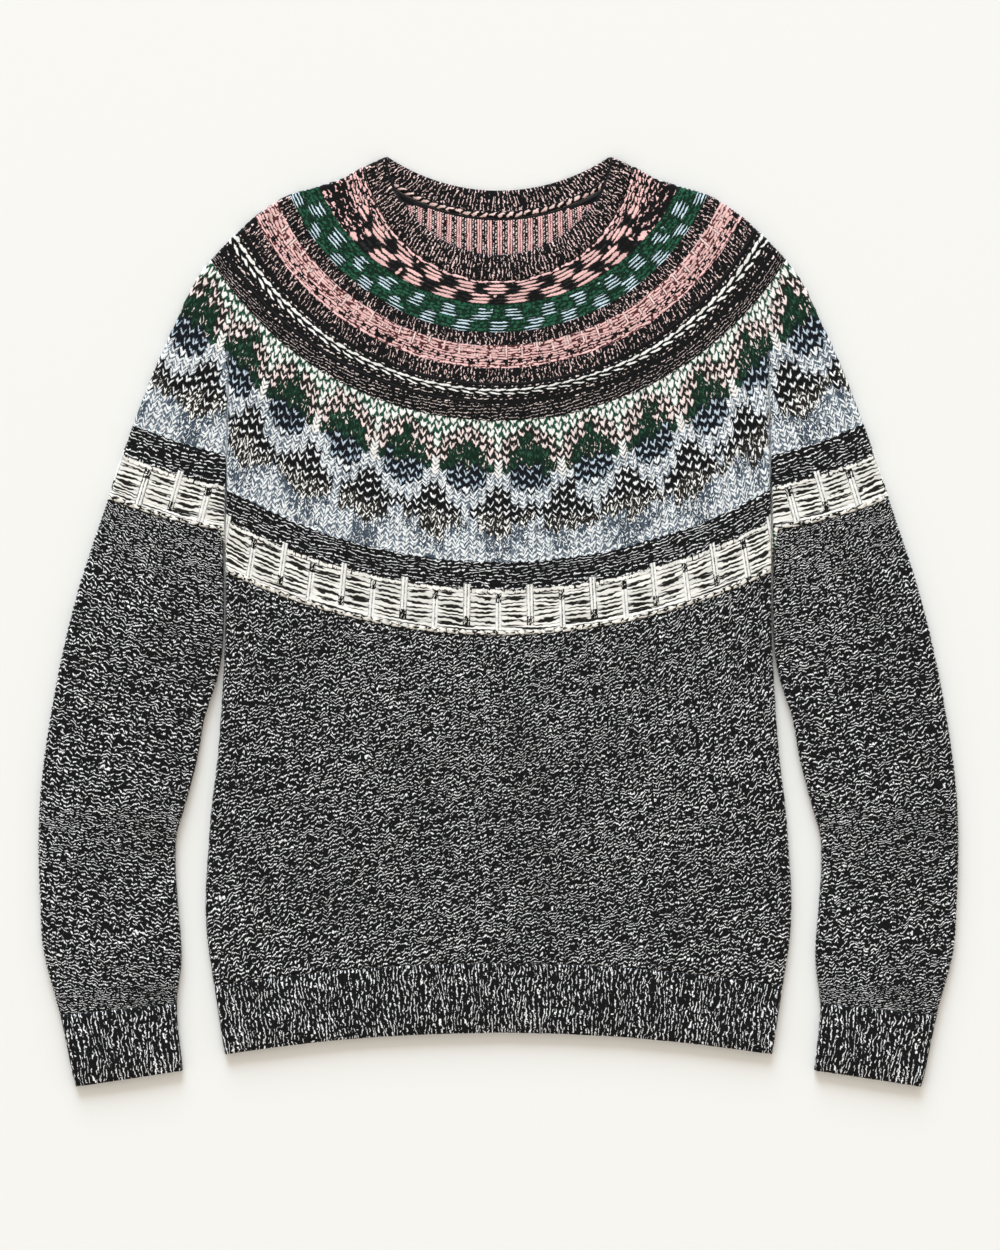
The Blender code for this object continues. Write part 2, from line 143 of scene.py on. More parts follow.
# %% Lines of the yoke
# Yoke: y of each band's lower line at the centre front, on the body's and the sleeve's side of the
# crease, and at the outer edge, then how many courses of stitches the band has and its name
YOKE_LINES = [
    (263.0, None, None, 351.5, 0, "seam"),
    (244.9, None, None, 336.0, 7, "checks"),
    (223.3, None, None, 329.2, 7, "blocks"),
    (212.9, None, None, 324.0, 2, "upper streaks"),
    (196.0, None, None, 312.5, 8, "rose"),
    (184.7, None, None, 304.2, 2, "lower streaks"),
    (180.6, None, None, 300.0, 2, "black"),
    (175.2, None, None, 293.5, 2, "chain"),
    (166.7, None, None, 285.2, 4, "dotted"),
    (155.2, None, None, 279.3, 6, "fine marl"),
    (46.2, 102.8, 129.0, 152.8, 16, "diamonds"),
    (29.0, 83.3, 108.0, 133.3, 7, "dark marl"),
    (-9.6, 39.0, 71.0, 95.5, 11, "cream"),
]
YOKE_COURSES = sum(row[4] for row in YOKE_LINES)
BACK_NECK_RAISE = 48.5  # how much higher the neck is at the back
print("yoke courses:", YOKE_COURSES)

# %% [markdown]
# ## Shapes of the cloth
#
# A round yoke is knitted in rings, so each course of stitches is an arc from the centre front to the outer
# fold. Below the underarm the course drops out of sight into a crease and comes up again, higher, on the
# sleeve. A flat grid cut to the outline would be quicker to make, but its rows would run straight across
# the yoke. So each course is worked out as a line of points of its own. First come small helpers for
# curves.

# %% Curves
def smooth(at, table):
    """The value at `at` on a smooth curve through a table of (at, value) rows."""
    xs, ys = table[:, 0], table[:, 1]
    slopes = np.gradient(ys, xs)
    i = np.clip(np.searchsorted(xs, at) - 1, 0, len(xs) - 2)
    step = xs[i + 1] - xs[i]
    u = (at - xs[i]) / step
    from_low = ys[i] * (1 + 2 * u) * (1 - u) ** 2 + slopes[i] * step * u * (1 - u) ** 2
    from_high = ys[i + 1] * u**2 * (3 - 2 * u) - slopes[i + 1] * step * u**2 * (1 - u)
    return from_low + from_high


def mix(low, high, share):
    return low + (high - low) * share


def ease(value, start, end):
    """0 before start and 1 after end, with a soft change between them."""
    share = np.clip((value - start) / (end - start), 0.0, 1.0)
    return share * share * (3 - 2 * share)


def outer_point(y):
    return np.array((smooth(y, OUTER_EDGE), y))


def crease_x(y):
    return np.interp(y, CREASE_X[:, 0], CREASE_X[:, 1])


# %% [markdown]
# The height of the cloth is a sum of functions of the place: the loft of the front over the back, the roll
# at the side edges, the ridge and trough of the crease, and the soft folds. A cloth simulation could find
# the folds, but a sweater that was smoothed out by hand has few of them, and this way each lies where it
# should.

# %% Heights of the cloth
def fold_height(x, y):
    """The height that the soft folds add."""
    total = np.zeros_like(x)
    for x0, y0, x1, y1, width, height in FOLDS:
        dx, dy = x1 - x0, y1 - y0
        length = math.hypot(dx, dy)
        run = ((x - x0) * dx + (y - y0) * dy) / length**2
        away = ((x - x0) * dy - (y - y0) * dx) / length
        rises, falls = ease(run, *FOLD_RISES), ease(run, *FOLD_FALLS)
        total += height * rises * (1 - falls) * np.exp(-((away / width) ** 2))
    return total


def crease_height(x, y):
    """The ridge and trough of the crease at the underarm."""
    strength = (1 - ease(y, *CREASE_TOP)) * ease(y, *CREASE_FOOT)
    offset = np.abs(x) - crease_x(y)
    ridge = CREASE_RIDGE * np.exp(-((offset / CREASE_RIDGE_WIDTH) ** 2))
    near = np.clip(1 + offset / CREASE_ROUNDING, 0.0, 1.0)
    ridge -= 0.5 * CREASE_RIDGE * (1 - np.sqrt(1 - near**2)) * (offset <= 0)
    trough = -CREASE_TROUGH * np.exp(-((offset / CREASE_TROUGH_WIDTH) ** 2))
    return strength * np.where(offset <= 0, ridge, trough)


def lining_height(inset):
    """Height of a front panel's inner surface this far in from the side edge."""
    return FRONT_LOW + LOFT * ease(inset, 0.0, LOFT_REACH)


def front_height(x, y, inset):
    """Height of the front's outer surface."""
    roll = ROLL * np.exp(-((inset / ROLL_WIDTH) ** 2))
    return lining_height(inset) + WALL + roll + fold_height(x, y) + crease_height(x, y)


def edge_radius(tip, back):
    """How far in from the outline a panel begins to round off."""
    if back:
        return BACK_RADIUS
    return float(front_height(np.array([tip[0]]), np.array([tip[1]]), 0.0)[0]) - FRONT_EDGE


# %% [markdown]
# A line of points lies along each course. Its places are measured along the cloth and not along the plan,
# so they stay evenly spaced where the cloth turns round the edge or drops into the crease, and so do the
# stitches.

# %% Arcs and edges
def arc_size(centre_y, end):
    """Radius and angle of the arc that leaves the centre line at a right angle and ends at `end`."""
    rise = max(abs(end[1] - centre_y), LEAST_BOW)
    radius = (end[0] ** 2 + rise**2) / (2 * rise)
    return radius, math.atan2(end[0], radius - rise)


def arc_points(centre_y, end, shares):
    radius, angle = arc_size(centre_y, end)
    up = math.copysign(1.0, end[1] - centre_y)
    angles = shares * angle
    return np.stack([radius * np.sin(angles), centre_y + up * radius * (1 - np.cos(angles))], 1)


def sagging(start, end, shares, bow):
    """Points at these shares of a slightly sagging line on the right side of the garment."""
    along = end - start
    shares = np.asarray(shares)[:, None]
    return start + along * shares + np.array((along[1], -along[0])) * (4 * bow * shares * (1 - shares))


def turned(surface, length, radius):
    """Plan length and angle round the side edge, at lengths along cloth that reaches `length` in the plan."""
    turn = np.clip((surface - length + radius) / radius, 0.0, math.pi / 2)
    return np.where(turn > 0, length - radius + radius * np.sin(turn), surface), turn


def outward(points):
    """Unit vectors along a row of points."""
    steps = np.gradient(points, axis=0)
    return steps / np.maximum(np.hypot(steps[:, 0], steps[:, 1]), 1e-9)[:, None]


# %% Lines of the courses
def plain_line(centre, tip, columns, back):
    """Half a course in one arc: (points, angle round the edge, distance to the edge, depth in the crease)."""
    radius, angle = arc_size(centre, tip)
    length, edge = radius * angle, edge_radius(tip, back)
    surface = np.linspace(0, length + edge * (math.pi / 2 - 1), columns + 1)
    plan, turn = turned(surface, length, edge)
    return arc_points(centre, tip, plan / length), turn, length - plan, np.zeros(columns + 1)


def creased_line(centre, body_y, sleeve_y, edge_y, creased, columns, back):
    """The same for a course that runs through the crease."""
    body = np.array((crease_x(body_y), body_y))
    sleeve = np.array((crease_x(sleeve_y) + CREASE_GAP * creased, sleeve_y))
    tip = outer_point(edge_y)
    radius, angle = arc_size(centre, body)
    near, far, edge = radius * angle, float(np.hypot(*(tip - sleeve))), edge_radius(tip, back)
    hidden = CREASE_CLOTH * creased + LEAST_HIDDEN
    surface = np.linspace(0, near + hidden + far + edge * (math.pi / 2 - 1), columns + 1)
    plan, turn = turned(surface - near - hidden, far, edge)
    depth = np.clip((surface - near) / hidden, 0.0, 1.0)
    on_body = arc_points(centre, body, np.minimum(surface / near, 1.0))
    on_sleeve = sagging(sleeve, tip, np.clip(plan / far, 0.0, 1.0), SLEEVE_BOW)
    between = body + (sleeve - body) * depth[:, None]
    points = np.where((depth <= 0)[:, None], on_body, np.where((depth >= 1)[:, None], on_sleeve, between))
    dip = np.where((depth > 0) & (depth < 1), np.sin(math.pi * depth), 0.0) * CREASE_DIP * creased
    inset = np.where(depth <= 0, near - surface + far, far - np.clip(plan, 0.0, far))
    return points, turn, inset, dip


def yoke_line(course, back, columns):
    """Half of the yoke's line at this course, counted from the neck."""
    ends = np.cumsum([row[4] for row in YOKE_LINES])
    number = int(np.clip(np.searchsorted(ends, course), 1, len(ends) - 1))
    row, before = YOKE_LINES[number], YOKE_LINES[number - 1]
    share = (course - ends[number - 1]) / row[4]
    centre, edge_y = mix(before[0], row[0], share), mix(before[3], row[3], share)
    if back:
        highest, lowest = YOKE_LINES[0][0], YOKE_LINES[-1][0]
        centre += BACK_NECK_RAISE * (centre - lowest) / (highest - lowest)
    if row[1] is None:
        return plain_line(centre, outer_point(edge_y), columns, back)
    starts = before[1] is None
    top = arc_points(before[0], outer_point(before[3]), np.array([CREASE_SHARE]))[0, 1] if starts else 0.0
    body_y = mix(top if starts else before[1], row[1], share)
    sleeve_y = mix(top if starts else before[2], row[2], share)
    creased = float(ease(share, 0.0, CREASE_SETTLES)) if starts else 1.0
    return creased_line(centre, body_y, sleeve_y, edge_y, creased, columns, back)


# %% Lines across the whole garment
def both_halves(half):
    """A line across the whole garment, from its right half."""
    points, turn, inset, dip = half
    points = np.concatenate((points[:0:-1] * (-1, 1), points))
    turn, inset, dip = (np.concatenate((a[:0:-1], a)) for a in (turn, inset, dip))
    return points, outward(points) * np.sign(points[:, :1]), turn, inset, dip


def body_line(top, bottom, share, columns, back):
    """A line across the body between two given as their heights at the centre and at the side edge."""
    centre, edge_y = mix(top[0], bottom[0], share), mix(top[1], bottom[1], share)
    return both_halves(plain_line(centre, np.array((smooth(edge_y, BODY_EDGE), edge_y)), columns // 2, back))


def tube_line(near, far, side, bow, columns, back):
    """A line across a sleeve or a cuff, from its left edge to its right one."""
    ends = [edge_radius(place * (side, 1), back) for place in (near, far)]
    width = float(np.hypot(*(far - near)))
    quarter = math.pi / 2 - 1
    surface = np.linspace(-ends[0] * quarter, width + ends[1] * quarter, columns + 1)
    plan, turn = turned(surface, width, ends[1])
    from_far, turn_back = turned(width - surface, width, ends[0])
    plan = np.where(turn_back > 0, width - from_far, plan)
    points = sagging(near, far, plan / width, bow)
    out = outward(points) * np.where(plan < width / 2, -1, 1)[:, None]
    line = (points * (side, 1), out * (side, 1), np.maximum(turn, turn_back), np.minimum(plan, width - plan))
    line = (*line, np.zeros(columns + 1))
    return line if side > 0 else tuple(part[::-1] for part in line)


print("sleeve's outer edge in the middle:", round(float(outer_point(0.0)[0]), 1), "mm out")

# %% [markdown]
# ## Yarns and stitches
#
# The wool is plied from two strands. In the marl one is black and one white, and they twist at random. In
# the coloured bands two yarns are carried together, and the one in front shows as a stroke on each loop. So
# a stitch is described by its two yarns and by the stroke: how much of the loop it covers, how far it
# slants, how loosely it wanders, where it breaks, how much its ends taper, which way it runs, how many
# wales it crosses, how many strokes lie side by side in a course, and how the whole run of them drifts and
# swirls. A leg is one side of a V, a dash lies along the course, a block crosses a whole cell of the chart,
# and a cord runs down a column. The pattern could be painted on the cloth, but a picture of it would blur
# close up, and a table of stitches is easy to change.

# %% Yarns
YARNS = {
    "black": (0.006, 0.006, 0.007),
    "coal": (0.020, 0.020, 0.022),
    "umber": (0.022, 0.020, 0.017),
    "white": (0.95, 0.96, 0.98),
    "cream": (0.96, 0.95, 0.92),
    "ivory": (0.95, 0.93, 0.88),
    "rose": (0.96, 0.60, 0.585),
    "pale rose": (0.95, 0.71, 0.69),
    "blush": (0.92, 0.78, 0.75),
    "deep rose": (0.30, 0.07, 0.08),
    "russet": (0.115, 0.030, 0.030),
    "bottle": (0.006, 0.030, 0.016),
    "green": (0.020, 0.110, 0.060),
    "moss": (0.030, 0.090, 0.055),
    "sky": (0.67, 0.84, 0.95),
    "pale sky": (0.90, 0.93, 0.95),
    "slate": (0.075, 0.105, 0.145),
    "steel blue": (0.17, 0.22, 0.28),
    "steel": (0.56, 0.67, 0.77),
    "navy": (0.006, 0.010, 0.017),
}

# %% Stitches
# letter: first yarn, second yarn, share, slant, looseness, gaps, taper, run, wales, strokes, drift, swirl
STITCHES = {
    "m": ("black", "white", 0.235, 0.05, 0.42, 0.43, 0.20, "dash", 0.6, 1.30, 0.40, 2.4),
    "l": ("black", "white", 0.245, -0.05, 0.42, 0.43, 0.20, "dash", 0.6, 1.30, -0.25, 2.4),
    "r": ("black", "white", 0.235, 0.00, 0.46, 0.43, 0.20, "cord", 1, 1.15, 0.0, 2.6),
    "n": ("black", "pale rose", 0.24, 0.00, 0.40, 0.43, 0.20, "cord", 1, 1.05, 0.0, 1.8),
    "M": ("black", "white", 0.225, 0.00, 0.20, 0.43, 0.30, "dash", 0.9, 1.05, 0.10, 2.2),
    "W": ("green", "cream", 0.70, 0.00, 0.22, 0.00, 0.80, "leg", 0.5, 1, 0.0, 0.5),
    "P": ("umber", "blush", 0.45, 0.00, 0.30, 0.00, 0.75, "leg", 0.5, 1, 0.0, 0.5),
    "G": ("bottle", "moss", 0.29, 0.00, 0.60, 0.42, 0.80, "leg", 0.5, 1, 0.0, 0.6),
    "J": ("bottle", "blush", 0.28, 0.00, 1.00, 0.50, 0.90, "dash", 0.6, 1.3, 0.0, 0.6),
    "B": ("navy", "steel", 0.27, 0.00, 0.28, 0.00, 0.80, "leg", 0.5, 1, 0.0, 0.5),
    "z": ("navy", "pale sky", 0.52, 0.00, 0.16, 0.00, 0.70, "leg", 0.5, 1, 0.0, 0.3),
    "K": ("black", "white", 0.255, 0.00, 0.20, 0.00, 0.90, "leg", 0.5, 1, 0.0, 0.4),
    "N": ("slate", "cream", 0.92, 0.00, 0.20, 0.00, 0.40, "leg", 0.5, 2, 0.0, 0.3),
    "L": ("steel blue", "pale sky", 0.66, 0.20, 0.50, 0.30, 0.55, "leg", 0.5, 2, 0.0, 1.2),
    "D": ("umber", "cream", 0.47, 0.20, 0.60, 0.42, 0.60, "leg", 0.5, 1.5, 0.0, 1.2),
    "E": ("slate", "pale sky", 0.46, 0.30, 0.90, 0.43, 0.50, "leg", 0.5, 2, 0.0, 1.6),
    "e": ("black", "rose", 0.60, 0.05, 0.50, 0.38, 0.50, "dash", 3, 1.5, 0.0, 0.8),
    "h": ("black", "rose", 0.32, 0.05, 0.50, 0.47, 0.60, "dash", 3, 1.5, 0.0, 0.8),
    "p": ("umber", "rose", 0.73, 0.06, 0.14, 0.00, 0.85, "block", 0, 1, 0.0, 0.5),
    "k": ("black", "coal", 0.40, 0.00, 0.30, 0.50, 0.50, "block", 0, 1, 0.0, 0.4),
    "g": ("bottle", "green", 0.60, 0.10, 0.50, 0.42, 0.50, "dash", 2, 1, 0.0, 0.8),
    "b": ("bottle", "sky", 0.44, 0.06, 0.12, 0.00, 0.85, "block", 0, 1.25, 0.0, 0.5),
    "o": ("russet", "rose", 0.74, 0.04, 0.40, 0.36, 0.45, "dash", 4, 1, 0.0, 1.6),
    "q": ("black", "rose", 0.68, 0.10, 0.35, 0.43, 0.50, "dash", 3, 1, 0.0, 1.0),
    "y": ("black", "rose", 0.62, 0.05, 0.30, 0.34, 0.60, "dash", 4, 1, 0.0, 0.8),
    "i": ("russet", "pale rose", 0.80, 0.00, 0.00, 0.00, 0.00, "cord", 1, 1, 0.0, 0.0),
    "s": ("black", "pale rose", 0.225, 0.00, 0.50, 0.45, 0.30, "cord", 1, 0.9, 0.0, 2.2),
    "c": ("black", "cream", 0.60, 0.25, 0.06, 0.00, 0.60, "dash", 2, 1, 0.0, 0.0),
    "d": ("black", "cream", 0.46, -0.55, 0.12, 0.00, 0.85, "dash", 2, 1, 0.0, 0.0),
    ".": ("black", "blush", 0.32, 0.30, 0.30, 0.53, 0.50, "dash", 1, 1, 0.0, 0.4),
    "f": ("black", "blush", 0.165, 0.10, 0.25, 0.43, 0.30, "dash", 0.7, 0.75, 0.1, 1.4),
    "F": ("umber", "ivory", 0.53, 0.00, 0.36, 0.00, -0.60, "block", 0, 1, 0.0, 2.2),
    "T": ("umber", "ivory", 0.86, 0.00, 0.20, 0.30, 0.30, "dash", 1, 1, 0.0, 1.0),
    "I": ("umber", "cream", 0.90, 0.00, 0.00, 0.00, 0.00, "cord", 0.5, 1, 0.0, 0.0),
    "V": ("black", "ivory", 0.30, 0.40, 0.50, 0.42, 0.40, "cord", 0.5, 1, 0.0, 0.0),
    "u": ("black", "blush", 0.46, 0.15, 0.20, 0.42, 0.90, "cord", 1, 1, 0.0, 0.0),
    "S": ("black", "ivory", 0.82, 0.00, 0.60, 0.00, 0.70, "cord", 1.5, 1, 0.0, 0.6),
    "U": ("deep rose", "rose", 0.66, 0.00, 0.16, 0.00, 0.10, "cord", 1, 1, 0.0, 0.3),
    "x": ("black", "pale rose", 0.50, 0.60, 0.30, 0.00, 0.80, "dash", 2, 1.1, 0.0, 0.6),
}

# %% Stitches by number
LETTERS = {letter: number for number, letter in enumerate(STITCHES)}
KINDS = np.array([row[7] for row in STITCHES.values()])
WALES_CROSSED = np.array([max(row[8], 0.5) for row in STITCHES.values()])
STROKES = np.array([float(row[9]) for row in STITCHES.values()])
# The shader reads a stitch as four colours with an alpha: first yarn, second yarn, stroke and flow
STITCH_TABLE = np.array(
    [
        (
            *(*YARNS[one], taper),
            *(*YARNS[two], kind == "leg"),
            *(share, slant, loose, gaps),
            *(swirl, drift, kind == "dash", 1),
        )
        for one, two, share, slant, loose, gaps, taper, kind, _, _, drift, swirl in STITCHES.values()
    ]
)
print("stitches:", len(STITCHES), "yarns:", len(YARNS))

# %% [markdown]
# ## Charts
#
# The charts are read as a knitter reads them: one row of letters for a course, from the neck down. A row
# gives half of a repeat, from its middle, and is mirrored. Eight wales make one repeat of the triangles and
# diamonds. In that band the Vs of neighbouring wales stand half a course apart, so its chart has a row for
# each half course and a letter in every second place. Near the shoulders the checks run out into plain
# streaks, which have rows of their own. Real knitting is never quite even, so a share of the cells at
# random copy a neighbour.

# %% Charts
DIAMONDS = [
    "W W W",
    " W W ",
    "W W P",
    " W P ",
    "W P G",
    " P P ",
    "W P G",
    " P G ",
    "P G G",
    " P G ",
    "N G G",
    " G B ",
    "N B B",
    " L B ",
    "L B B",
    " L B ",
    "K L z",
    " K L ",
    "K L L",
    " K L ",
    "K K L",
    " K K ",
    "D K L",
    " D D ",
    "D D L",
    " D E ",
    "D E L",
    " E L ",
    "E L L",
    " E L ",
    "E L L",
    " L L ",
    "E L L",
]
CREAM = [
    "MMMMMI",
    "TTTTTI",
    "VFFFFI",
    "VFFFFI",
    "IFFFFI",
    "IFFFFI",
    "IFFFFI",
    "IFFFFV",
    "IFFFFV",
    "IFFFFF",
    "SSSSSS",
]
# name: width of a cell in millimetres or None for a wale, lean of the loops, their height, rows
BANDS = {
    "checks": (2.60, 0.10, 0.9, ["yyyyyy", "ppppkk", "ppppkk", "ppppkk", "kkpppp", "kkpppp", "kkpppp"]),
    "blocks": (2.62, 0.10, 0.9, ["gggggg", "gggbbb", "gggbbb", "gggbbb", "bbbggg", "bbbggg", "bbbggg"]),
    "upper streaks": (2.70, 0.10, 0.9, ["s", "s"]),
    "rose": (2.05, 0.10, 0.9, ["oooi", "oooi", "oooi", "oooi", "oqoo", "qqqq", "qoqq", "oooo"]),
    "lower streaks": (2.70, 0.10, 0.9, ["s", "s"]),
    "black": (None, 0.10, 0.7, ["k", "."]),
    "chain": (None, 0.10, 1.3, ["c", "d"]),
    "dotted": (None, 0.10, 0.8, [".", ".", "k", "."]),
    "fine marl": (None, 0.15, 0.8, ["f", "f", "f", "f", "f", "f"]),
    "diamonds": (None, 0.46, 1.1, DIAMONDS),
    "dark marl": (None, 0.20, 0.8, ["M"] * 7),
    "cream": (4.88, 0.10, 1.1, CREAM),
}
STRAY = {"checks": 0.50, "blocks": 0.40, "rose": 0.30, "diamonds": 0.06}  # share that copy a neighbour
FADED_ROWS, FADED_STRAY = 11, 0.45  # the lower rows of the diamonds, where the colours run into each other
# x from which plain streaks show instead of the chart, with a letter for each course, and how much x varies
END_ROWS = {"checks": (98.0, "eeeehhh")}
END_RAGGED = 9.0
random = np.random.default_rng(7)  # used all through the script, so each run gives the same sweater
print("charts:", len(BANDS))


# %% Reading a chart
def mirrored(cells, repeat):
    """Places in half a repeat of cells that are counted from the centre line."""
    place = np.abs(cells) % max(repeat, 1)
    return np.minimum(place, repeat - place)


def numbered(rows):
    return np.array([[LETTERS.get(letter, 0) for letter in row] for row in rows])


def chart_letters(row, cells, stray):
    """Stitch numbers of the cells in a chart row, of which the share stray copy a neighbour."""
    number = cells - cells.min()
    moved = random.integers(0, 2, number.max() + 1) * 2 - 1
    cells = cells + (moved * (random.uniform(0, 1, len(moved)) < stray))[number]
    return numbered([row])[0][mirrored(cells, 2 * (len(row) - 1))]


def staggered_letters(rows, cells, stray):
    """The same for a chart of half courses, where every second wale's loops begin half a course higher."""
    half = np.arange(len(rows) - 1)[:, None]
    start = half + 1 - (half + 1 + cells) % 2
    number = cells - cells.min()
    size = (len(rows), number.max() + 1)
    faded = np.arange(len(rows)) >= len(rows) - FADED_ROWS
    strays = random.uniform(0, 1, size) < np.where(faded, FADED_STRAY, stray)[:, None]
    down, aside = ((random.integers(0, 2, size) * 2 - 1) * strays for _ in range(2))
    start, cells = np.clip(start + down[start, number], 0, len(rows) - 1), cells + aside[start, number]
    start = np.where((start + cells) % 2 == 0, start, np.where(start > 0, start - 1, 1))
    return numbered(rows)[start, mirrored(cells, 2 * (len(rows[0]) - 1))]


# %% [markdown]
# ## From stitches to a mesh
#
# A wale is a column of stitches and a course is a row. Each wale gets a few columns of faces and each
# course two rows, whose lines are leaned into the V of the loop. Lines between courses lie in a groove and
# the ones between them stand on the ridge of the yarn, so light and shadow fall as they do on real
# knitting. Loops modelled one by one as tubes would take many millions of faces, and bump alone leaves the
# surface and its outline smooth.

# %% Fields of stitches
SUNK = 0.35  # the grooves lie this much below the solid's surface
TINY = 1e-6
LOOP_FOOT = 0.4  # height of a loop at the foot of its V and between two wales
FULL_BOW = 0.999  # just under 1, so that the sine between two wales isn't quite 0
FINE_LOOP = 0.7  # height of a loop where two lie side by side in a course
DASH_END = 0.6  # height at the ends of a dash
CORD_FOOT, CORD_SWELL = 0.3, 0.85  # height between two cords, and how much they stand above it
PURL_SINKS = 0.45  # share by which every second cord is lower
UNEVEN, UNEVEN_COLUMNS = 0.22, 3  # how much the heights vary, and over how many columns of faces


class Stitches:
    """What the faces of a knitted surface show, and how its lines lean and rise."""

    def __init__(self, letters, cells, leans, reliefs, rows_per=2):
        """letters and cells, the columns that a wale takes, have a row for each row of faces."""
        rows, columns = letters.shape
        self.letters, self.rows_per = letters, rows_per
        place = (np.arange(columns + 1) - columns / 2) / cells[:, None] + 0.5
        kinds, crossed, strokes = KINDS[letters], WALES_CROSSED[letters], STROKES[letters]
        starts = np.concatenate((np.ones((rows, 1), bool), letters[:, 1:] != letters[:, :-1]), 1)
        run = np.cumsum(starts, 1)
        first = np.maximum.accumulate(np.where(starts, np.arange(columns), 0), 1)
        ends = np.concatenate((starts[:, 1:], np.ones((rows, 1), bool)), 1)
        last = np.minimum.accumulate(np.where(ends, np.arange(columns), columns)[:, ::-1], 1)[:, ::-1]
        wale = np.floor(place[:, :-1] + TINY)
        staggered = (kinds == "leg") & (strokes == 1) & (wale % 2 == 0)
        parity = 0.5 * (np.floor(place[:, :-1] / crossed + TINY) % 2)
        self.knit = np.zeros((rows, columns, 4, 2))
        for corner, (down, right) in enumerate(((0, 0), (1, 0), (1, 1), (0, 1))):
            along = place[:, right : columns + right] / crossed
            block = run + (np.arange(columns) + right - first) / (last - first + 1)
            along = np.where(kinds == "block", block, along)
            across = (np.arange(rows)[:, None] + down) / rows_per
            cord = kinds == "cord"
            self.knit[..., corner, 0] = np.where(cord, across + parity, along)
            self.knit[..., corner, 1] = np.where(cord, along * strokes, across * strokes + 0.5 * staggered)
        bow = np.abs(2 * (place % 1) - 1)  # 0 in the middle of a wale and 1 between two
        bow = np.concatenate((bow, bow[-1:]))
        leans = np.append(leans, 0.0)
        leans[1:] = np.minimum(leans[1:], leans[:-1])
        leans[0] = 0.0
        self.lean = -leans[:, None] * (bow - 0.5)
        self.height = np.zeros((rows + 1, columns + 1))
        if rows_per == 2:
            self.rise(letters, place, bow, np.append(reliefs, reliefs[-1]))

    def rise(self, letters, place, bow, reliefs):
        """Sets the heights of the lines."""
        letters = np.concatenate((letters, letters[:, -1:]), 1)
        letters, place = np.concatenate((letters, letters[-1:])), np.concatenate((place, place[-1:]))
        rows, columns = letters.shape
        kinds, crossed = KINDS[letters], WALES_CROSSED[letters]
        on_ridge = np.arange(rows)[:, None] % 2 == 1
        on_leg = on_ridge ^ (np.floor(place + TINY) % 2 == 0)
        loop = LOOP_FOOT + (1 - LOOP_FOOT) * np.sin(math.pi * np.minimum(bow, FULL_BOW))
        loop = loop * np.where(STROKES[letters] == 2, FINE_LOOP, on_leg)
        strand = np.abs(np.sin(math.pi * place / crossed))
        dash = (DASH_END + (1 - DASH_END) * strand) * on_ridge
        purl = np.where(crossed == 1, 1 - PURL_SINKS * (np.floor(place) % 2), 1.0)
        cord = (CORD_FOOT + CORD_SWELL * strand) * purl
        uneven = 1 + UNEVEN * random.uniform(-1, 1, (rows, columns))[:, np.arange(columns) // UNEVEN_COLUMNS]
        height = np.where(kinds == "cord", cord, np.where(kinds == "leg", loop, dash) * uneven)
        self.height = height * reliefs[:, None]


# %% Plain fields and soft noise
def plain(letter, courses, wales, wale_columns, lean=0.0, relief=0.0, rows_per=2):
    """A field of one stitch."""
    letters = np.full((courses * rows_per, round(wales * wale_columns)), LETTERS[letter])
    every = np.ones(courses * rows_per)
    return Stitches(letters, every * wale_columns, every * lean, every * relief, rows_per)


def soft_noise(rows, columns, step):
    """Smooth random values from -1 to 1 on a grid, which change over about `step` cells."""
    coarse = random.uniform(-1, 1, (int(rows / step) + 3, int(columns / step) + 3))
    y, x = np.arange(rows) / step, np.arange(columns) / step
    i, j = y.astype(int), x.astype(int)
    u, v = ease(y - i, 0, 1)[:, None], ease(x - j, 0, 1)[None, :]
    top = mix(coarse[i][:, j], coarse[i][:, j + 1], v)
    low = mix(coarse[i + 1][:, j], coarse[i + 1][:, j + 1], v)
    return mix(top, low, u)


# %% [markdown]
# The stitches are laid on the plan of the piece: each line of points is moved along the cloth by its lean,
# and then lifted off the surface by its height. The outer face of a back panel is its underside, which lies
# on the table.

# %% Laying stitches on the plan
UNDER = "under"
OVER = "over"
WANDERS = ((0.12, 5), (0.25, 30))  # how far a line strays, in courses, and over how many cells


def lay(lines, stitches, side, drops=None):
    """Points of the knitted surface over or under the cloth."""
    points, out, turn, inset, dip = (np.array(part) for part in zip(*lines))
    rows, columns = turn.shape
    wander = sum(reach * soft_noise(rows, columns, step) for reach, step in WANDERS)
    wander[0] = 0
    if drops is None:
        wander[-1] = 0
    at = np.arange(rows)[:, None] + stitches.rows_per * stitches.lean + wander * stitches.rows_per / 2
    at = np.clip(at, 0, rows - 1)
    low = np.minimum(at.astype(int), rows - 2)
    share = at - low
    column = np.arange(columns)[None, :]

    def leaned(values):
        part = share[..., None] if values.ndim == 3 else share
        return mix(values[low, column], values[low + 1, column], part)

    points, turn, inset, dip, out = (leaned(values) for values in (points, turn, inset, dip, out))
    x, y = points[..., 0], points[..., 1]
    if side == UNDER:
        return np.stack([x, y, BACK_RADIUS * (1 - np.cos(turn))], -1)
    top = FRONT_EDGE + (front_height(x, y, inset) - dip - FRONT_EDGE) * np.cos(turn)
    rise = stitches.height - SUNK - (0 if drops is None else drops[:, None])
    aside = out * (np.sin(turn) * rise)[..., None]
    return np.concatenate((points + aside, (top + np.cos(turn) * rise)[..., None]), -1)


# %% [markdown]
# ## Closed walls
#
# Each piece is one closed wall, as the cloth has a thickness of its own: the knitted outer surface, a
# plainer inner one, and narrow rims that join them. A sleeve is a tube, so it has four surfaces. The
# Solidify modifier thickens a sheet too, but it would repeat every fine face on the inside. Here the rims
# join a fine edge to a coarse one.

# %% Rims
PLAIN_CELL = (3.9, 3.5)  # width and height of a stitch on a plain surface
RIM_SPOT = (0.01, 0.002, 0.98, 0.015)  # place of the rims on the bake map


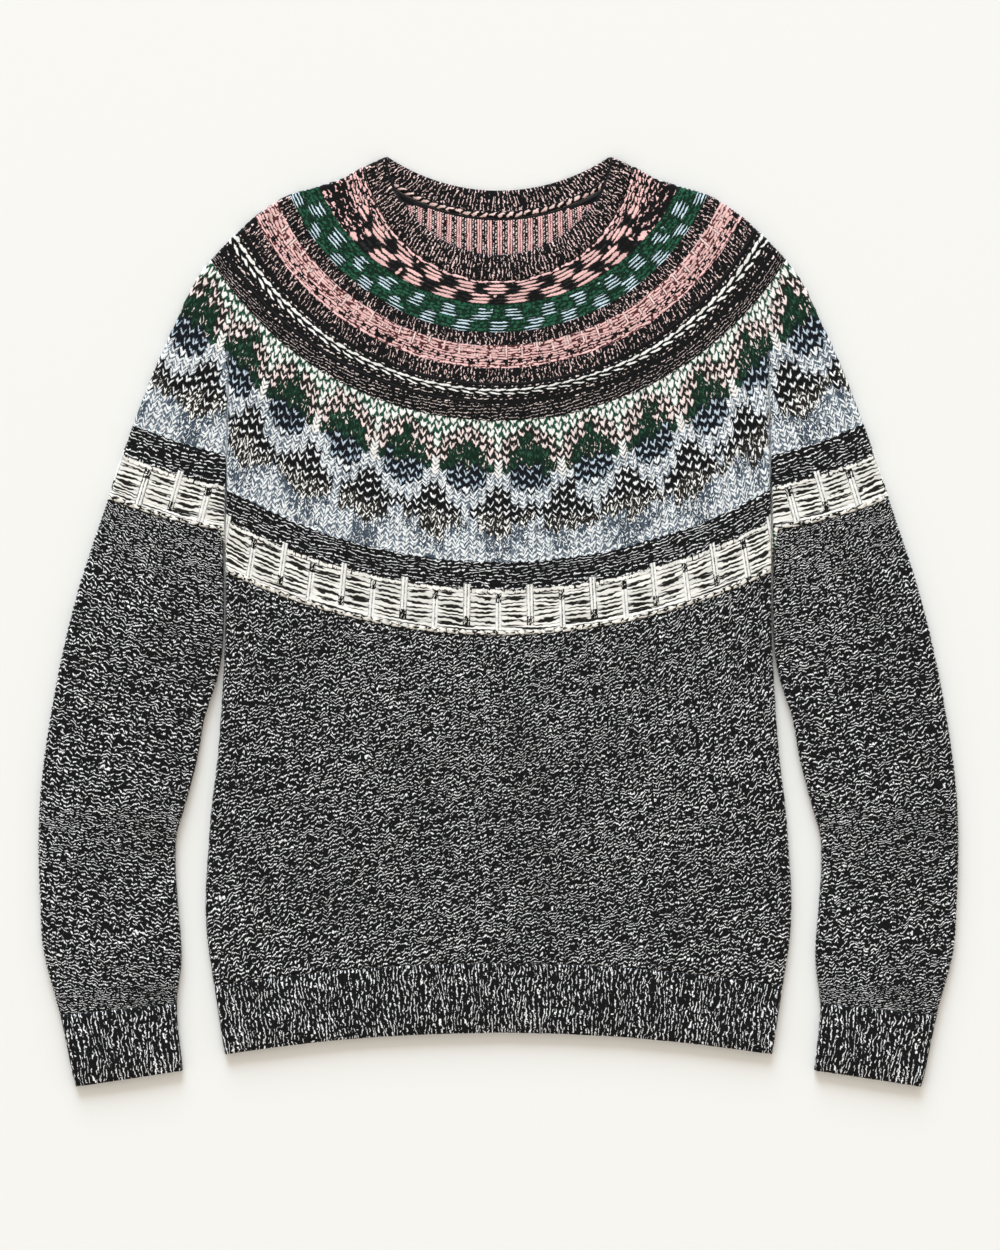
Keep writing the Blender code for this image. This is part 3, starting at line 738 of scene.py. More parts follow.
def zipper(first, second, first_at=None, second_at=None):
    """Triangles between two lines of point numbers that run side by side."""
    first_at = np.linspace(0, 1, len(first)) if first_at is None else first_at
    second_at = np.linspace(0, 1, len(second)) if second_at is None else second_at
    faces, i, j = [], 0, 0
    while i < len(first) - 1 or j < len(second) - 1:
        if j == len(second) - 1 or (i < len(first) - 1 and first_at[i + 1] <= second_at[j + 1]):
            faces.append((first[i], first[i + 1], second[j]))
            i += 1
        else:
            faces.append((first[i], second[j + 1], second[j]))
            j += 1
    return faces


# %% Wall maker
class Wall:
    """A closed piece of cloth in the making."""

    def __init__(self):
        self.points, self.faces, self.knit, self.bake, self.letters, self.count = [], [], [], [], [], 0

    def surface(self, points, stitches, spot, down=False, ring=False):
        """Adds a grid of points and its faces at spot on the bake map, and returns the points' numbers."""
        rows, columns = points.shape[:2]
        before = self.count
        numbers = np.arange(rows * columns).reshape(rows, columns) + before
        self.count += rows * columns
        self.points.append(points.reshape(-1, 3))
        if ring:
            numbers = np.concatenate((numbers, numbers[:, :1]), 1)
            columns += 1
        quads = np.stack([numbers[:-1, :-1], numbers[1:, :-1], numbers[1:, 1:], numbers[:-1, 1:]], -1)
        i, j = np.meshgrid(np.arange(rows - 1), np.arange(columns - 1), indexing="ij")
        corners = np.stack([np.stack([j + b, i + a], -1) for a, b in ((0, 0), (1, 0), (1, 1), (0, 1))], 2)
        u, v, wide, high = spot
        bake = corners / (columns - 1, rows - 1) * (wide, high) + (u, v)
        if isinstance(stitches, str):
            place = self.points[-1][quads - before]
            knit, letters = place[..., :2] / PLAIN_CELL, np.full(quads.shape[:2], LETTERS[stitches])
        else:
            knit, letters = stitches.knit, stitches.letters
        if down:
            quads, bake, knit = quads[:, :, ::-1], bake[:, :, ::-1], knit[:, :, ::-1]
        self.faces += quads.reshape(-1, 4).tolist()
        self.knit.append(knit.reshape(-1, 2))
        self.bake.append(bake.reshape(-1, 2))
        self.letters.append(letters.ravel())
        return numbers

    def strip(self, faces, letter, flip=False):
        """Adds the faces of a rim."""
        faces = [list(face[::-1] if flip else face) for face in faces]
        place = np.concatenate(self.points)[np.array(sum(faces, []))]
        self.faces += faces
        self.knit.append((place[:, :2] + place[:, 2:]) / PLAIN_CELL)
        low, high = place[:, :2].min(0), place[:, :2].max(0)
        self.bake.append((place[:, :2] - low) / np.maximum(high - low, 1) * RIM_SPOT[2:] + RIM_SPOT[:2])
        self.letters.append(np.full(len(faces), LETTERS[letter]))

    def finish(self, name, nodes, material):
        """Makes the object, and hides the solid that it replaces."""
        mesh = bpy.data.meshes.new(name)
        mesh.from_pydata(((np.concatenate(self.points) - np.array(MIDDLE)) * MM).tolist(), [], self.faces)
        mesh.uv_layers.new(name="knit").data.foreach_set("uv", np.concatenate(self.knit).ravel())
        mesh.uv_layers.new(name="OFBake").data.foreach_set("uv", np.concatenate(self.bake).ravel())
        sizes = np.array([len(face) for face in self.faces])
        values = STITCH_TABLE[np.repeat(np.concatenate(self.letters), sizes)]
        for number, field in enumerate(("first_yarn", "second_yarn", "stroke", "flow")):
            layer = mesh.color_attributes.new(name=field, type="FLOAT_COLOR", domain="CORNER")
            layer.data.foreach_set("color", values[:, number * 4 : number * 4 + 4].ravel())
        mesh.shade_smooth()
        mesh.materials.append(material)
        piece = bpy.data.objects.new(name, mesh)
        bpy.context.scene.collection.objects.link(piece)
        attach(piece, "root")
        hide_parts(nodes)
        edges = {(a, b) for face in self.faces for a, b in zip(face, face[1:] + face[:1])}
        loose = sum((b, a) not in edges for a, b in edges)
        twice = int(sizes.sum()) - len(edges)
        print(name, "triangles:", int((sizes - 2).sum()), "open edges:", loose, "used twice:", twice)


# %% [markdown]
# ## Wool
#
# One shader serves all the yarns. Its coordinates count loops along the strand and courses across it. Each
# loop gets its own random numbers, so no two stitches match. Grooves between loops are dark, because little
# light gets into them, and fine fibres run along the strands. The stitches' colours and strokes come from
# the mesh, where each face carries them, so three materials do for the whole sweater. A material for each
# stitch would be simpler to draw, but the bands would need dozens of them.

# %% Nodes
class Nodes:
    """Adds nodes to the tree of one material."""

    def __init__(self, tree):
        self.tree = tree

    def node(self, kind, **settings):
        made = self.tree.nodes.new(kind)
        for key, value in settings.items():
            setattr(made, key, value)
        return made

    def feed(self, made, *values, sockets=None):
        """Links or sets the inputs of a node one by one, and returns its outputs."""
        for socket, value in zip(sockets or made.inputs, values):
            if isinstance(value, bpy.types.NodeSocket):
                self.tree.links.new(value, socket)
            else:
                socket.default_value = value
        return made.outputs

    def calc(self, operation, *values):
        return self.feed(self.node("ShaderNodeMath", operation=operation), *values)[0]

    def plus(self, *values):
        return self.calc("ADD", *values)

    def minus(self, *values):
        return self.calc("SUBTRACT", *values)

    def times(self, *values):
        return self.calc("MULTIPLY", *values)

    def times_plus(self, *values):
        return self.calc("MULTIPLY_ADD", *values)

    def soft_step(self, value, start, end):
        made = self.node("ShaderNodeMapRange", interpolation_type="SMOOTHSTEP")
        return self.feed(made, value, start, end)[0]

    def pair(self, x, y):
        return self.feed(self.node("ShaderNodeCombineXYZ"), x, y)[0]

    def channels(self, colour):
        return self.feed(self.node("ShaderNodeSeparateColor"), colour)[:3]

    def noise(self, x, y, detail=1.0):
        made = self.node("ShaderNodeTexNoise", noise_dimensions="2D")
        self.tree.links.new(self.pair(x, y), made.inputs["Vector"])
        made.inputs["Scale"].default_value = 1.0
        made.inputs["Detail"].default_value = detail
        return made.outputs["Fac"]

    def chance(self, place, socket, dimensions):
        """Random values, one for each place."""
        made = self.node("ShaderNodeTexWhiteNoise", noise_dimensions=dimensions)
        self.tree.links.new(place, made.inputs[socket])
        return made.outputs

    def blend(self, kind, *values):
        made = self.node("ShaderNodeMix", data_type="RGBA", blend_type=kind)
        return self.feed(made, *values, sockets=(made.inputs[0], made.inputs[6], made.inputs[7]))[2]

    def field(self, layer):
        """One of a stitch's four colours: its colour and its alpha."""
        return self.node("ShaderNodeVertexColor", layer_name=layer).outputs[:2]


# %% Wool material
SURFACE = {"Roughness": 0.92, "Specular IOR Level": 0.18, "Sheen Weight": 0.05, "Sheen Roughness": 0.5}
BUMP_STRENGTH, BUMP_DISTANCE = 0.4, 0.0008


def wool(name, painted_groove_shade, fibre):
    """A dull two-strand wool, with how bright the painted shade in its grooves is and how strongly its fibres
    show.
    """
    material = bpy.data.materials.new(name)
    material.use_nodes = True
    shader = material.node_tree.nodes["Principled BSDF"]
    for socket, value in SURFACE.items():
        shader.inputs[socket].default_value = value
    nodes = Nodes(material.node_tree)
    plus, minus, times, times_plus = nodes.plus, nodes.minus, nodes.times, nodes.times_plus
    soft_step, noise = nodes.soft_step, nodes.noise

    # What the stitch is, and where on the knitting this is
    split = nodes.node("ShaderNodeSeparateXYZ")
    along, across, _ = nodes.feed(split, nodes.node("ShaderNodeUVMap", uv_map="knit").outputs[0])
    first, taper = nodes.field("first_yarn")
    second, paired = nodes.field("second_yarn")
    stroke_colour, gaps = nodes.field("stroke")
    share, slant, loose = nodes.channels(stroke_colour)
    swirl, drift, dashed = nodes.channels(nodes.field("flow")[0])

    def waves(x, y, detail=1.0):
        return noise(times(along, x), times(across, y), detail)

    # Which stroke this is, how far along it and how far across it this place is, and its random numbers
    row_at = plus(times_plus(along, drift, across), times(swirl, minus(waves(0.3, 0.2), 0.5)))
    row, from_side = nodes.calc("FLOOR", row_at), nodes.calc("FRACT", row_at)
    step_at = times_plus(nodes.chance(row, "W", "1D")["Value"], dashed, along)
    from_start = nodes.calc("FRACT", step_at)
    cell = nodes.pair(nodes.calc("FLOOR", step_at), row)
    phase, luck, tone = nodes.channels(nodes.chance(cell, "Vector", "2D")["Color"])

    # How far this is from the middle of the stroke, which slants and wanders
    wobble = minus(waves(1.9, 1.1, 2.0), 0.5)
    wobble_fine = minus(waves(5.0, 3.0), 0.5)
    tilt = plus(slant, times(loose, times_plus(luck, 1.8, -0.9)))
    shift = plus(minus(phase, 0.5), times(wobble, 1.4))
    place = plus(from_side, times(tilt, minus(from_start, 0.5)))
    place = plus(place, times(loose, shift))
    place = plus(place, times(wobble, 0.35))
    place = plus(place, times(wobble_fine, 0.22))
    from_middle = nodes.calc("ABSOLUTE", minus(nodes.calc("FRACT", place), 0.5))

    # How wide the stroke is: it tapers to its ends, varies from place to place and breaks at the gaps
    single_end = nodes.calc("ABSOLUTE", times_plus(from_start, 2.0, -1.0))
    pair_end = nodes.calc("ABSOLUTE", times_plus(nodes.calc("FRACT", times(along, 0.5)), 2.0, -1.0))
    to_end = plus(times(paired, pair_end), times(minus(1.0, paired), single_end))
    end = soft_step(plus(to_end, times(wobble_fine, 0.3)), 0.45, 1.0)
    patch = minus(waves(0.35, 0.23), 0.5)
    width = times(share, times_plus(wobble, 0.6, 0.5))
    width = times(width, times_plus(waves(0.05, 0.035, 2.0), 0.6, 0.7))
    width = times(width, times_plus(times(patch, loose), 1.8, 1.0))
    narrowed_by = times(taper, end)
    width = times(width, minus(1.0, narrowed_by))
    width = times_plus(nodes.calc("MAXIMUM", narrowed_by, 0.0), -0.06, width)
    gap = noise(times(along, 1.7), times(row, 7.3))
    shown = soft_step(minus(gap, gaps), -0.03, 0.05)
    width = minus(times(width, shown), times(minus(1.0, shown), 0.06))
    stroke = soft_step(minus(from_middle, width), 0.05, -0.05)
    colour = nodes.blend("MIX", stroke, first, second)

    # Light and dark: fibres and the tone of each loop, and painted shade in the grooves and in the cleft at
    # the foot of a V
    fibres = waves(4.0, 18.0, 2.0)
    ridge = nodes.calc("POWER", nodes.calc("SINE", times(nodes.calc("FRACT", place), math.pi)), 0.5)
    bright = times_plus(fibres, 2 * fibre, 1.0 - fibre)
    bright = times(bright, times_plus(tone, 0.24, 0.90))
    bright = times(bright, times_plus(ridge, 1 - painted_groove_shade, painted_groove_shade))
    # Painted shade: darker in the cleft at the foot of a V
    cleft_shade = times(soft_step(pair_end, 0.35, 0.0), soft_step(from_middle, 0.25, 0.5))
    bright = times(bright, minus(1.0, times(times(cleft_shade, paired), 0.75)))
    shade = nodes.feed(nodes.node("ShaderNodeCombineColor"), bright, bright, bright)[0]
    nodes.tree.links.new(nodes.blend("MULTIPLY", 1.0, colour, shade), shader.inputs["Base Color"])

    # Relief finer than the mesh
    level = times_plus(stroke, 0.4, times_plus(fibres, 0.35, times(ridge, 0.5)))
    raised = nodes.node("ShaderNodeBump")
    raised.inputs["Strength"].default_value = BUMP_STRENGTH
    raised.inputs["Distance"].default_value = BUMP_DISTANCE
    nodes.tree.links.new(level, raised.inputs["Height"])
    nodes.tree.links.new(raised.outputs[0], shader.inputs["Normal"])
    return material


marl_wool = wool("marl_wool", 0.35, 0.16)
rose_marl_wool = wool("rose_marl_wool", 0.35, 0.16)
yoke_wool = wool("yoke_wool", 0.38, 0.13)
print("nodes in a wool:", len(yoke_wool.node_tree.nodes))

# %% [markdown]
# ## Panels
#
# The front and the back of the yoke, of the body and of the hem are panels. A panel is one wall of
# knitting: the stitches, a plain lining and a narrow rim all round. The lining could be as fine as the
# outside, but it is hidden, so large faces do.

# %% Panel maker
LINING_STEPS = (8, 12)  # rows and columns of the outside to a face of the lining
OUTER_SPOT = (0.01, 0.13, 0.98, 0.86)
LINING_SPOT = (0.01, 0.02, 0.98, 0.10)


def marks(last, step):
    """Every step-th number up to the last, which is always among them."""
    return np.append(np.arange(0, last - step / 2, step), last).astype(int)


def close_panel(wall, outer, inner, rows_at, columns_at, letter, flip):
    """Joins the inner surface of a panel to the outer one all round."""
    rows, columns = np.arange(outer.shape[0]), np.arange(outer.shape[1])
    wall.strip(zipper(outer[0], inner[0], columns, columns_at), letter, flip)
    wall.strip(zipper(outer[-1], inner[-1], columns, columns_at), letter, not flip)
    wall.strip(zipper(outer[:, 0], inner[:, 0], rows, rows_at), letter, not flip)
    wall.strip(zipper(outer[:, -1], inner[:, -1], rows, rows_at), letter, flip)


def panel(name, node, lines, stitches, letter, side, material, drops=None):
    """A front or back panel from its plan lines and its stitches."""
    wall = Wall()
    outer = wall.surface(lay(lines, stitches, side, drops), stitches, OUTER_SPOT, down=side == UNDER)
    rows_at, columns_at = marks(len(lines) - 1, LINING_STEPS[0]), marks(outer.shape[1] - 1, LINING_STEPS[1])
    plan = np.array([line[0] for line in lines])[np.ix_(rows_at, columns_at)]
    inset = np.array([line[3] for line in lines])[np.ix_(rows_at, columns_at)]
    height = lining_height(inset) if side == OVER else np.full(inset.shape, WALL)
    lining = np.concatenate((plan, height[..., None]), -1)
    inner = wall.surface(lining, letter, LINING_SPOT, down=side == OVER)
    close_panel(wall, outer, inner, rows_at, columns_at, letter, side == UNDER)
    wall.finish(name, node, material)


# %% [markdown]
# ## Yoke front
#
# The yoke's bands are knitted from the charts. A real yoke loses stitches on the way to the neck, at rounds
# where two are knitted together. Here every course has the same wales, which narrow evenly, so the
# triangles and the diamonds get narrower toward the neck as they should. A band whose repeat isn't a whole
# number of wales has cells of its own width, and its pattern still fans out from the centre line.

# %% Stitches of the yoke
YOKE_WALES = 93  # stitches in each course, from one outer fold to the other
YOKE_WALE_COLUMNS = 6  # columns of faces to a wale
STRAY_SHARE = 0.50  # of the green stitches let the rose yarn behind them show


def yoke_stitches(lines, wale_columns, rows_per):
    """Stitches of the whole yoke for lines that have rows_per rows to a course."""
    letters, cells, leans, reliefs = [], [], [], []
    columns = YOKE_WALES * wale_columns
    at = np.arange(columns) + 0.5 - columns / 2
    wales = np.floor(at / wale_columns + 0.5).astype(int)
    for *_, courses, band in YOKE_LINES[1:]:
        width, lean, relief, rows = BANDS[band]
        middle = lines[(len(letters) // 2 + courses // 2) * rows_per][0]
        pitch = float(np.hypot(*(middle[columns // 2 + 1] - middle[columns // 2])))
        cell = wale_columns if width is None else width / pitch
        if len(rows) > courses:  # a chart of half courses
            letters += list(staggered_letters(rows, wales, STRAY[band]))
        else:
            end_x, end_letters = END_ROWS.get(band, (math.inf, rows))
            for row, end_letter in zip(rows, end_letters):
                shown = chart_letters(row, np.floor(at / cell + 0.5).astype(int), STRAY.get(band, 0.0))
                ended = np.abs(middle[:-1, 0]) > end_x + random.uniform(-END_RAGGED, END_RAGGED)
                letters += [np.where(ended, LETTERS[end_letter[0]], shown)] * 2
        for values, value in ((cells, cell), (leans, lean), (reliefs, relief)):
            values += [value] * (2 * courses)
    letters = np.array(letters)
    dots = random.uniform(0, 1, (len(letters), YOKE_WALES + 1))[:, wales - wales.min()] < STRAY_SHARE
    letters[dots & (letters == LETTERS["G"])] = LETTERS["J"]
    step = 2 // rows_per
    cells, leans, reliefs = (np.array(values)[::step] for values in (cells, leans, reliefs))
    return Stitches(letters[::step], cells, leans, reliefs, rows_per)


def yoke_lines(back, columns, rows_per):
    rows = YOKE_COURSES * rows_per + 1
    return [both_halves(yoke_line(r / rows_per, back, columns // 2)) for r in range(rows)]


# %% Yoke front
lines = yoke_lines(False, YOKE_WALES * YOKE_WALE_COLUMNS, 2)
panel(
    "yoke_front_knit",
    "yoke_front",
    lines,
    yoke_stitches(lines, YOKE_WALE_COLUMNS, 2),
    "W",
    OVER,
    yoke_wool,
)

# %% [markdown]
# ## Body front
#
# The body is plain knitting in black and white marl. Its courses curve down to the centre under the yoke and
# up to it at the hem. It could be a smooth sheet with a noise for its speckle, but then its edges and its
# folds would look like paper, so it has raised stitches as the yoke has. Their loops lie along the course as
# short dashes, because the marl's twisted strands hide the Vs.

# %% Body front
# Heights of a course at the centre and at the side edges
BODY_TOP = (-9.6 - SEAM, 39.0 - SEAM)
HEM_TOP = (-262.2, -280.0)
HEM_BOTTOM = (-316.1, -332.8)
BODY_WALES = 72
BODY_COURSES = 72
BODY_WALE_COLUMNS = 6
MARL_LEAN = 0.35
MARL_RELIEF = 0.9


def body_lines(top, bottom, rows, columns, back=False):
    return [body_line(top, bottom, r / rows, columns, back) for r in range(rows + 1)]


panel(
    "body_front_knit",
    "body_front",
    body_lines(BODY_TOP, HEM_TOP, 2 * BODY_COURSES, BODY_WALES * BODY_WALE_COLUMNS),
    plain("m", BODY_COURSES, BODY_WALES, BODY_WALE_COLUMNS, MARL_LEAN, MARL_RELIEF),
    "m",
    OVER,
    marl_wool,
)

# %% [markdown]
# ## Ribbing at the hem
#
# Ribbing is columns of knit and purl stitches in turn, which pull together and make the edge stretch. It
# shows as cords that run down the cloth, and here every second cord lies a little lower. The cords could be
# one wave of the surface, but as stitches they also get the marl's strands and grooves. The last lines sink
# to a rounded edge.

# %% Hem ribs
HEM_CORDS = 134
HEM_COURSES = 9
CORD_COLUMNS = 4  # columns of faces to a cord
RIB_LEAN = 0.0
RIB_RELIEF = 1.0
END_DROP, END_ROWS_ROUNDED = 0.9, 3  # how much lower the last line is, and over how many rows it sinks


def end_drops(rows):
    """How much lower each line is, as the last ones are rounded down."""
    return END_DROP * ease(np.arange(rows), rows - 1 - END_ROWS_ROUNDED, rows - 1)


def below(row):
    return row[0] - SEAM, row[1] - SEAM


panel(
    "hem_rib_front_knit",
    "hem_rib_front",
    body_lines(below(HEM_TOP), HEM_BOTTOM, 2 * HEM_COURSES, HEM_CORDS * CORD_COLUMNS),
    plain("r", HEM_COURSES, HEM_CORDS, CORD_COLUMNS, RIB_LEAN, RIB_RELIEF),
    "r",
    OVER,
    marl_wool,
    end_drops(2 * HEM_COURSES + 1),
)

# %% [markdown]
# ## Back panels
#
# The back lies on the table, so its outer face is the flat underside. The same courses run round it, with
# the same charts in the yoke. Its loops are only drawn there, because knitting that is pressed flat has no
# relief.

# %% Back panels
BACK_WALE_COLUMNS = 2
lines = yoke_lines(True, YOKE_WALES * BACK_WALE_COLUMNS, 1)
print("yoke back lines:", len(lines))

panel(
    "body_back_knit",
    "body_back",
    body_lines(BODY_TOP, HEM_TOP, BODY_COURSES, BODY_WALES * BACK_WALE_COLUMNS, back=True),
    plain("m", BODY_COURSES, BODY_WALES, BACK_WALE_COLUMNS, MARL_LEAN, 0.0, rows_per=1),
    "m",
    UNDER,
    marl_wool,
)
panel(
    "hem_rib_back_knit",
    "hem_rib_back",
    body_lines(below(HEM_TOP), HEM_BOTTOM, HEM_COURSES, HEM_CORDS, back=True),
    plain("r", HEM_COURSES, HEM_CORDS, 1, 0.0, 0.0, rows_per=1),
    "r",
    UNDER,
    marl_wool,
)

# %% [markdown]
# The inside of the back yoke shows through the neck opening. It is a row of rose ribs with dark dotted ones
# between, so its inner face is knitted too, finely near the neck and coarsely where the front hides it.

# %% Yoke back
INSIDE_COLUMNS = 420
INSIDE_CORD = 1.95  # width of a cord
INSIDE_RELIEF = 0.6
INSIDE_SHADED = (1, 6)  # top rows that the neckband shades in the middle, and how many more at the sides
INSIDE_SHADE = (54.0, 96.0)  # x over which they become more
INSIDE_COURSES = 14  # as far as these the inside shows and is fine
INSIDE_STEP = 6  # rows to a face below them
INSIDE_SPOT = (0.01, 0.66, 0.98, 0.33)
UNDER_SPOT = (0.01, 0.02, 0.98, 0.62)


def yoke_back():
    wall = Wall()
    # The stitches are drawn twice, for the lean of the lines and then for their colours
    underside = lay(lines, yoke_stitches(lines, BACK_WALE_COLUMNS, 1), UNDER)
    outer = wall.surface(underside, yoke_stitches(lines, BACK_WALE_COLUMNS, 1), UNDER_SPOT, down=True)
    columns, near = INSIDE_COLUMNS, 2 * INSIDE_COURSES
    fine = yoke_lines(True, columns, 2)
    rows_at = np.concatenate((np.arange(near), near + marks(len(fine) - 1 - near, INSIDE_STEP)))
    rows = len(rows_at) - 1
    plan = np.array([fine[row][0] for row in rows_at])
    cells = INSIDE_CORD / np.hypot(*(plan[:-1, columns // 2 + 1] - plan[:-1, columns // 2]).T)
    cord = np.floor((np.arange(columns) + 0.5 - columns / 2) / cells[:, None] + 0.5).astype(int)
    letters = numbered(["UUuu"])[0][cord % 4]
    shaded = INSIDE_SHADED[0] + INSIDE_SHADED[1] * ease(np.abs(plan[:-1, :-1, 0]), *INSIDE_SHADE)
    # Painted shade: the rows that the neckband shades get black stitches
    letters[np.arange(rows)[:, None] < shaded] = LETTERS["k"]
    ones = np.ones(rows)
    stitches = Stitches(letters, cells, ones * 0, ones * INSIDE_RELIEF)
    fade = ease(-np.arange(rows + 1), -near, 2 - near)
    height = WALL + (stitches.height - SUNK) * fade[:, None]
    inner = wall.surface(np.concatenate((plan, height[..., None]), -1), stitches, INSIDE_SPOT)
    close_panel(wall, outer, inner, rows_at / 2, np.linspace(0, outer.shape[1] - 1, columns + 1), "u", True)
    wall.finish("yoke_back_knit", "yoke_back", yoke_wool)


yoke_back()

# %% [markdown]
# ## Sleeves and cuffs
#
# A sleeve is a tube laid flat, as it is knitted in the round. Its top carries the relief, its sides are
# rounded, and its underside is flat. It could be a front and a back like the body, but then a seam would
# run along the outer edge, where a sleeve knitted in the round has none. So one closed wall goes all round,
# with a narrow slot inside.

# %% Sections of the tubes
# Heights of a tube's sections at its outer and its inner edge, from its top to its end
SLEEVE_SECTIONS = [
    (95.5, 71.0), (75.0, 50.0), (52.0, 28.0), (18.9, 2.0), (-13.5, -21.2),
    (-45.0, -50.0), (-75.0, -81.0), (-108.0, -112.0), (-141.0, -141.7), (-163.0, -162.0),
    (-190.0, -187.0), (-222.0, -218.0), (-254.0, -252.0), (-282.0, -278.0), (-302.2, -293.0),
]
CUFF_SECTIONS = [(-302.2, -293.0), (-357.7, -345.2)]
TUBE_SPOTS = (
    (0.01, 0.34, 0.98, 0.65),  # top
    (0.01, 0.12, 0.98, 0.20),  # underside
    (0.01, 0.07, 0.98, 0.04),  # inside of the top
    (0.01, 0.02, 0.98, 0.04),  # inside of the underside
)


def section_at(sections, share):
    """Heights at the outer and the inner edge of a tube at this share of its length."""
    at = np.linspace(0, 1, len(sections))
    shift = SEAM * (1 - ease(share, 0.0, 1 / (len(sections) - 1)))
    return tuple(float(np.interp(share, at, [row[k] for row in sections])) - shift for k in (0, 1))


def tube_lines(sections, side, bows, rows, columns, back=False):
    made = []
    for r in range(rows + 1):
        outer_y, inner_y = section_at(sections, r / rows)
        near, far = np.array((smooth(inner_y, SLEEVE_INNER_EDGE), inner_y)), outer_point(outer_y)
        made.append(tube_line(near, far, side, mix(*bows, r / rows), columns, back))
    return made


def narrowed(lines, shrink):
    """Plan of a tube's inside, `shrink` narrower at each edge, and how far in from the edge it is."""
    plan, inset = np.array([line[0] for line in lines]), np.array([line[3] for line in lines])
    middle = (plan[:, :1] + plan[:, -1:]) / 2
    width = np.hypot(*np.moveaxis(plan[:, :1] - plan[:, -1:], -1, 0))[..., None]
    return middle + (plan - middle) * (1 - 2 * shrink / width), inset


# %% Tube maker
def tube(name, node, sections, side, bows, stitches, under, letter, drops=None):
    """A sleeve or a cuff with its stitches on top and plainer ones below."""
    wall = Wall()
    rows = len(stitches.lean) - 1
    over_lines = tube_lines(sections, side, bows, rows, stitches.lean.shape[1] - 1)
    under_lines = tube_lines(sections, side, bows, len(under.lean) - 1, under.lean.shape[1] - 1, back=True)
    top = wall.surface(lay(over_lines, stitches, OVER, drops), stitches, TUBE_SPOTS[0])
    low = wall.surface(lay(under_lines, under, UNDER), under, TUBE_SPOTS[1], down=True)
    # Inside there is a roof under the top, and a floor
    rows_at, columns_at = marks(rows, LINING_STEPS[0]), marks(top.shape[1] - 1, LINING_STEPS[1])
    plan, inset = narrowed([over_lines[r] for r in rows_at], WALL)
    plan, inset = plan[:, columns_at], inset[:, columns_at]
    roof = np.maximum(lining_height(inset), WALL + TUBE_SLOT)
    inner_top = wall.surface(np.concatenate((plan, roof[..., None]), -1), letter, TUBE_SPOTS[2], down=True)
    floor = np.full(inset.shape, WALL)
    inner_low = wall.surface(np.concatenate((plan, floor[..., None]), -1), letter, TUBE_SPOTS[3])
    # Rims join them along the sides and at both ends
    across, inner_across = np.linspace(0, 1, top.shape[1]), columns_at / columns_at[-1]
    wall.strip(zipper(top[:, 0], low[:, 0]), letter, True)
    wall.strip(zipper(top[:, -1], low[:, -1]), letter)
    wall.strip(zipper(inner_top[:, 0], inner_low[:, 0]), letter)
    wall.strip(zipper(inner_top[:, -1], inner_low[:, -1]), letter, True)
    for row, flip in ((0, False), (-1, True)):
        wall.strip(zipper(top[row], inner_top[row], across, inner_across), letter, flip)
        wall.strip(zipper(low[row], inner_low[row], None, inner_across), letter, not flip)
        for column, turned_over in ((0, flip), (-1, not flip)):
            corner = (top[row, column], inner_top[row, column], inner_low[row, column], low[row, column])
            wall.strip([corner], letter, turned_over)
    wall.finish(name, node, marl_wool)


# %% Sleeves and cuffs
SLEEVE_WALES, SLEEVE_COURSES = 16, 112
CUFF_CORDS, CUFF_COURSES = 26, 8
for side, word, marl in ((-1, "left", "l"), (1, "right", "m")):
    tube(
        f"sleeve_{word}_knit",
        f"sleeve_{word}",
        SLEEVE_SECTIONS,
        side,
        (SLEEVE_BOW, 0.0),
        plain(marl, SLEEVE_COURSES, SLEEVE_WALES, BODY_WALE_COLUMNS, MARL_LEAN, MARL_RELIEF),
        plain("m", SLEEVE_COURSES, SLEEVE_WALES, BACK_WALE_COLUMNS, MARL_LEAN, 0.0, rows_per=1),
        "m",
    )
    tube(
        f"cuff_{word}_knit",
        f"cuff_{word}",
        CUFF_SECTIONS,
        side,
        (0.0, 0.0),
        plain("r", CUFF_COURSES, CUFF_CORDS, CORD_COLUMNS, RIB_LEAN, RIB_RELIEF),
        plain("r", CUFF_COURSES, CUFF_CORDS, 1, 0.0, 0.0, rows_per=1),
        "r",
        end_drops(2 * CUFF_COURSES + 1),
    )

# %% [markdown]
# ## Neckband
#
# The neckband is a ring of ribbing, folded flat at both shoulders. In front its outside shows, and behind
# the opening its inside does, where a chain of slanting stitches covers the seam. It could be a torus
# pressed flat, but the front of the neck is lower than the back, so each point is placed between the seam
# and the opening.

# %% Places on the neckband
NECK_SEAM, NECK_OPENING = (263.0, 311.5), (283.0, 333.0)  # y at the centre, in front and behind
NECK_SEAM_TIP, NECK_CORNER = 351.5, 359.5  # y where they meet the outer edge
NECK_TOP = 7.2  # height of the folded band
NECK_SINK = np.array([(0.0, 0.4), (0.15, 0.0), (0.85, 0.0), (1.0, 0.7)])  # share across, and how much lower
NECK_CORDS = (92, 64)  # in front and behind
NECK_FOLD_CORDS = 2  # at either shoulder
NECK_CORD_COLUMNS = 3
NECK_COURSES = 4
NECK_RELIEF = 0.9
NECK_SHADE = 0.72  # beyond this share of the half width the front's edge shades itself
CHAIN_RISE = 0.3
NECK_SPOTS = ((0.01, 0.52, 0.98, 0.47), (0.01, 0.03, 0.98, 0.47))


def neck_place(across, side, front, share, cut):
    """Places at these shares across the neckband and these shares of its half width, which ends cut short."""
    ends = []
    for centres, tip_y, lift in ((NECK_SEAM, NECK_SEAM_TIP, SEAM), (NECK_OPENING, NECK_CORNER, 0.0)):
        tip = outer_point(tip_y + 2 * lift)
        place = 0
        for centre, here in zip(centres, (front, ~front)):
            radius, angle = arc_size(centre + lift, tip)
            angles = share * (1 - cut / (radius * angle)) * angle
            spot = np.stack([radius * np.sin(angles), centre + lift + radius * (1 - np.cos(angles))], -1)
            place = place + spot * here[..., None]
        ends.append(place)
    return mix(ends[0], ends[1], across[..., None]) * np.stack([side, np.ones_like(side)], -1)


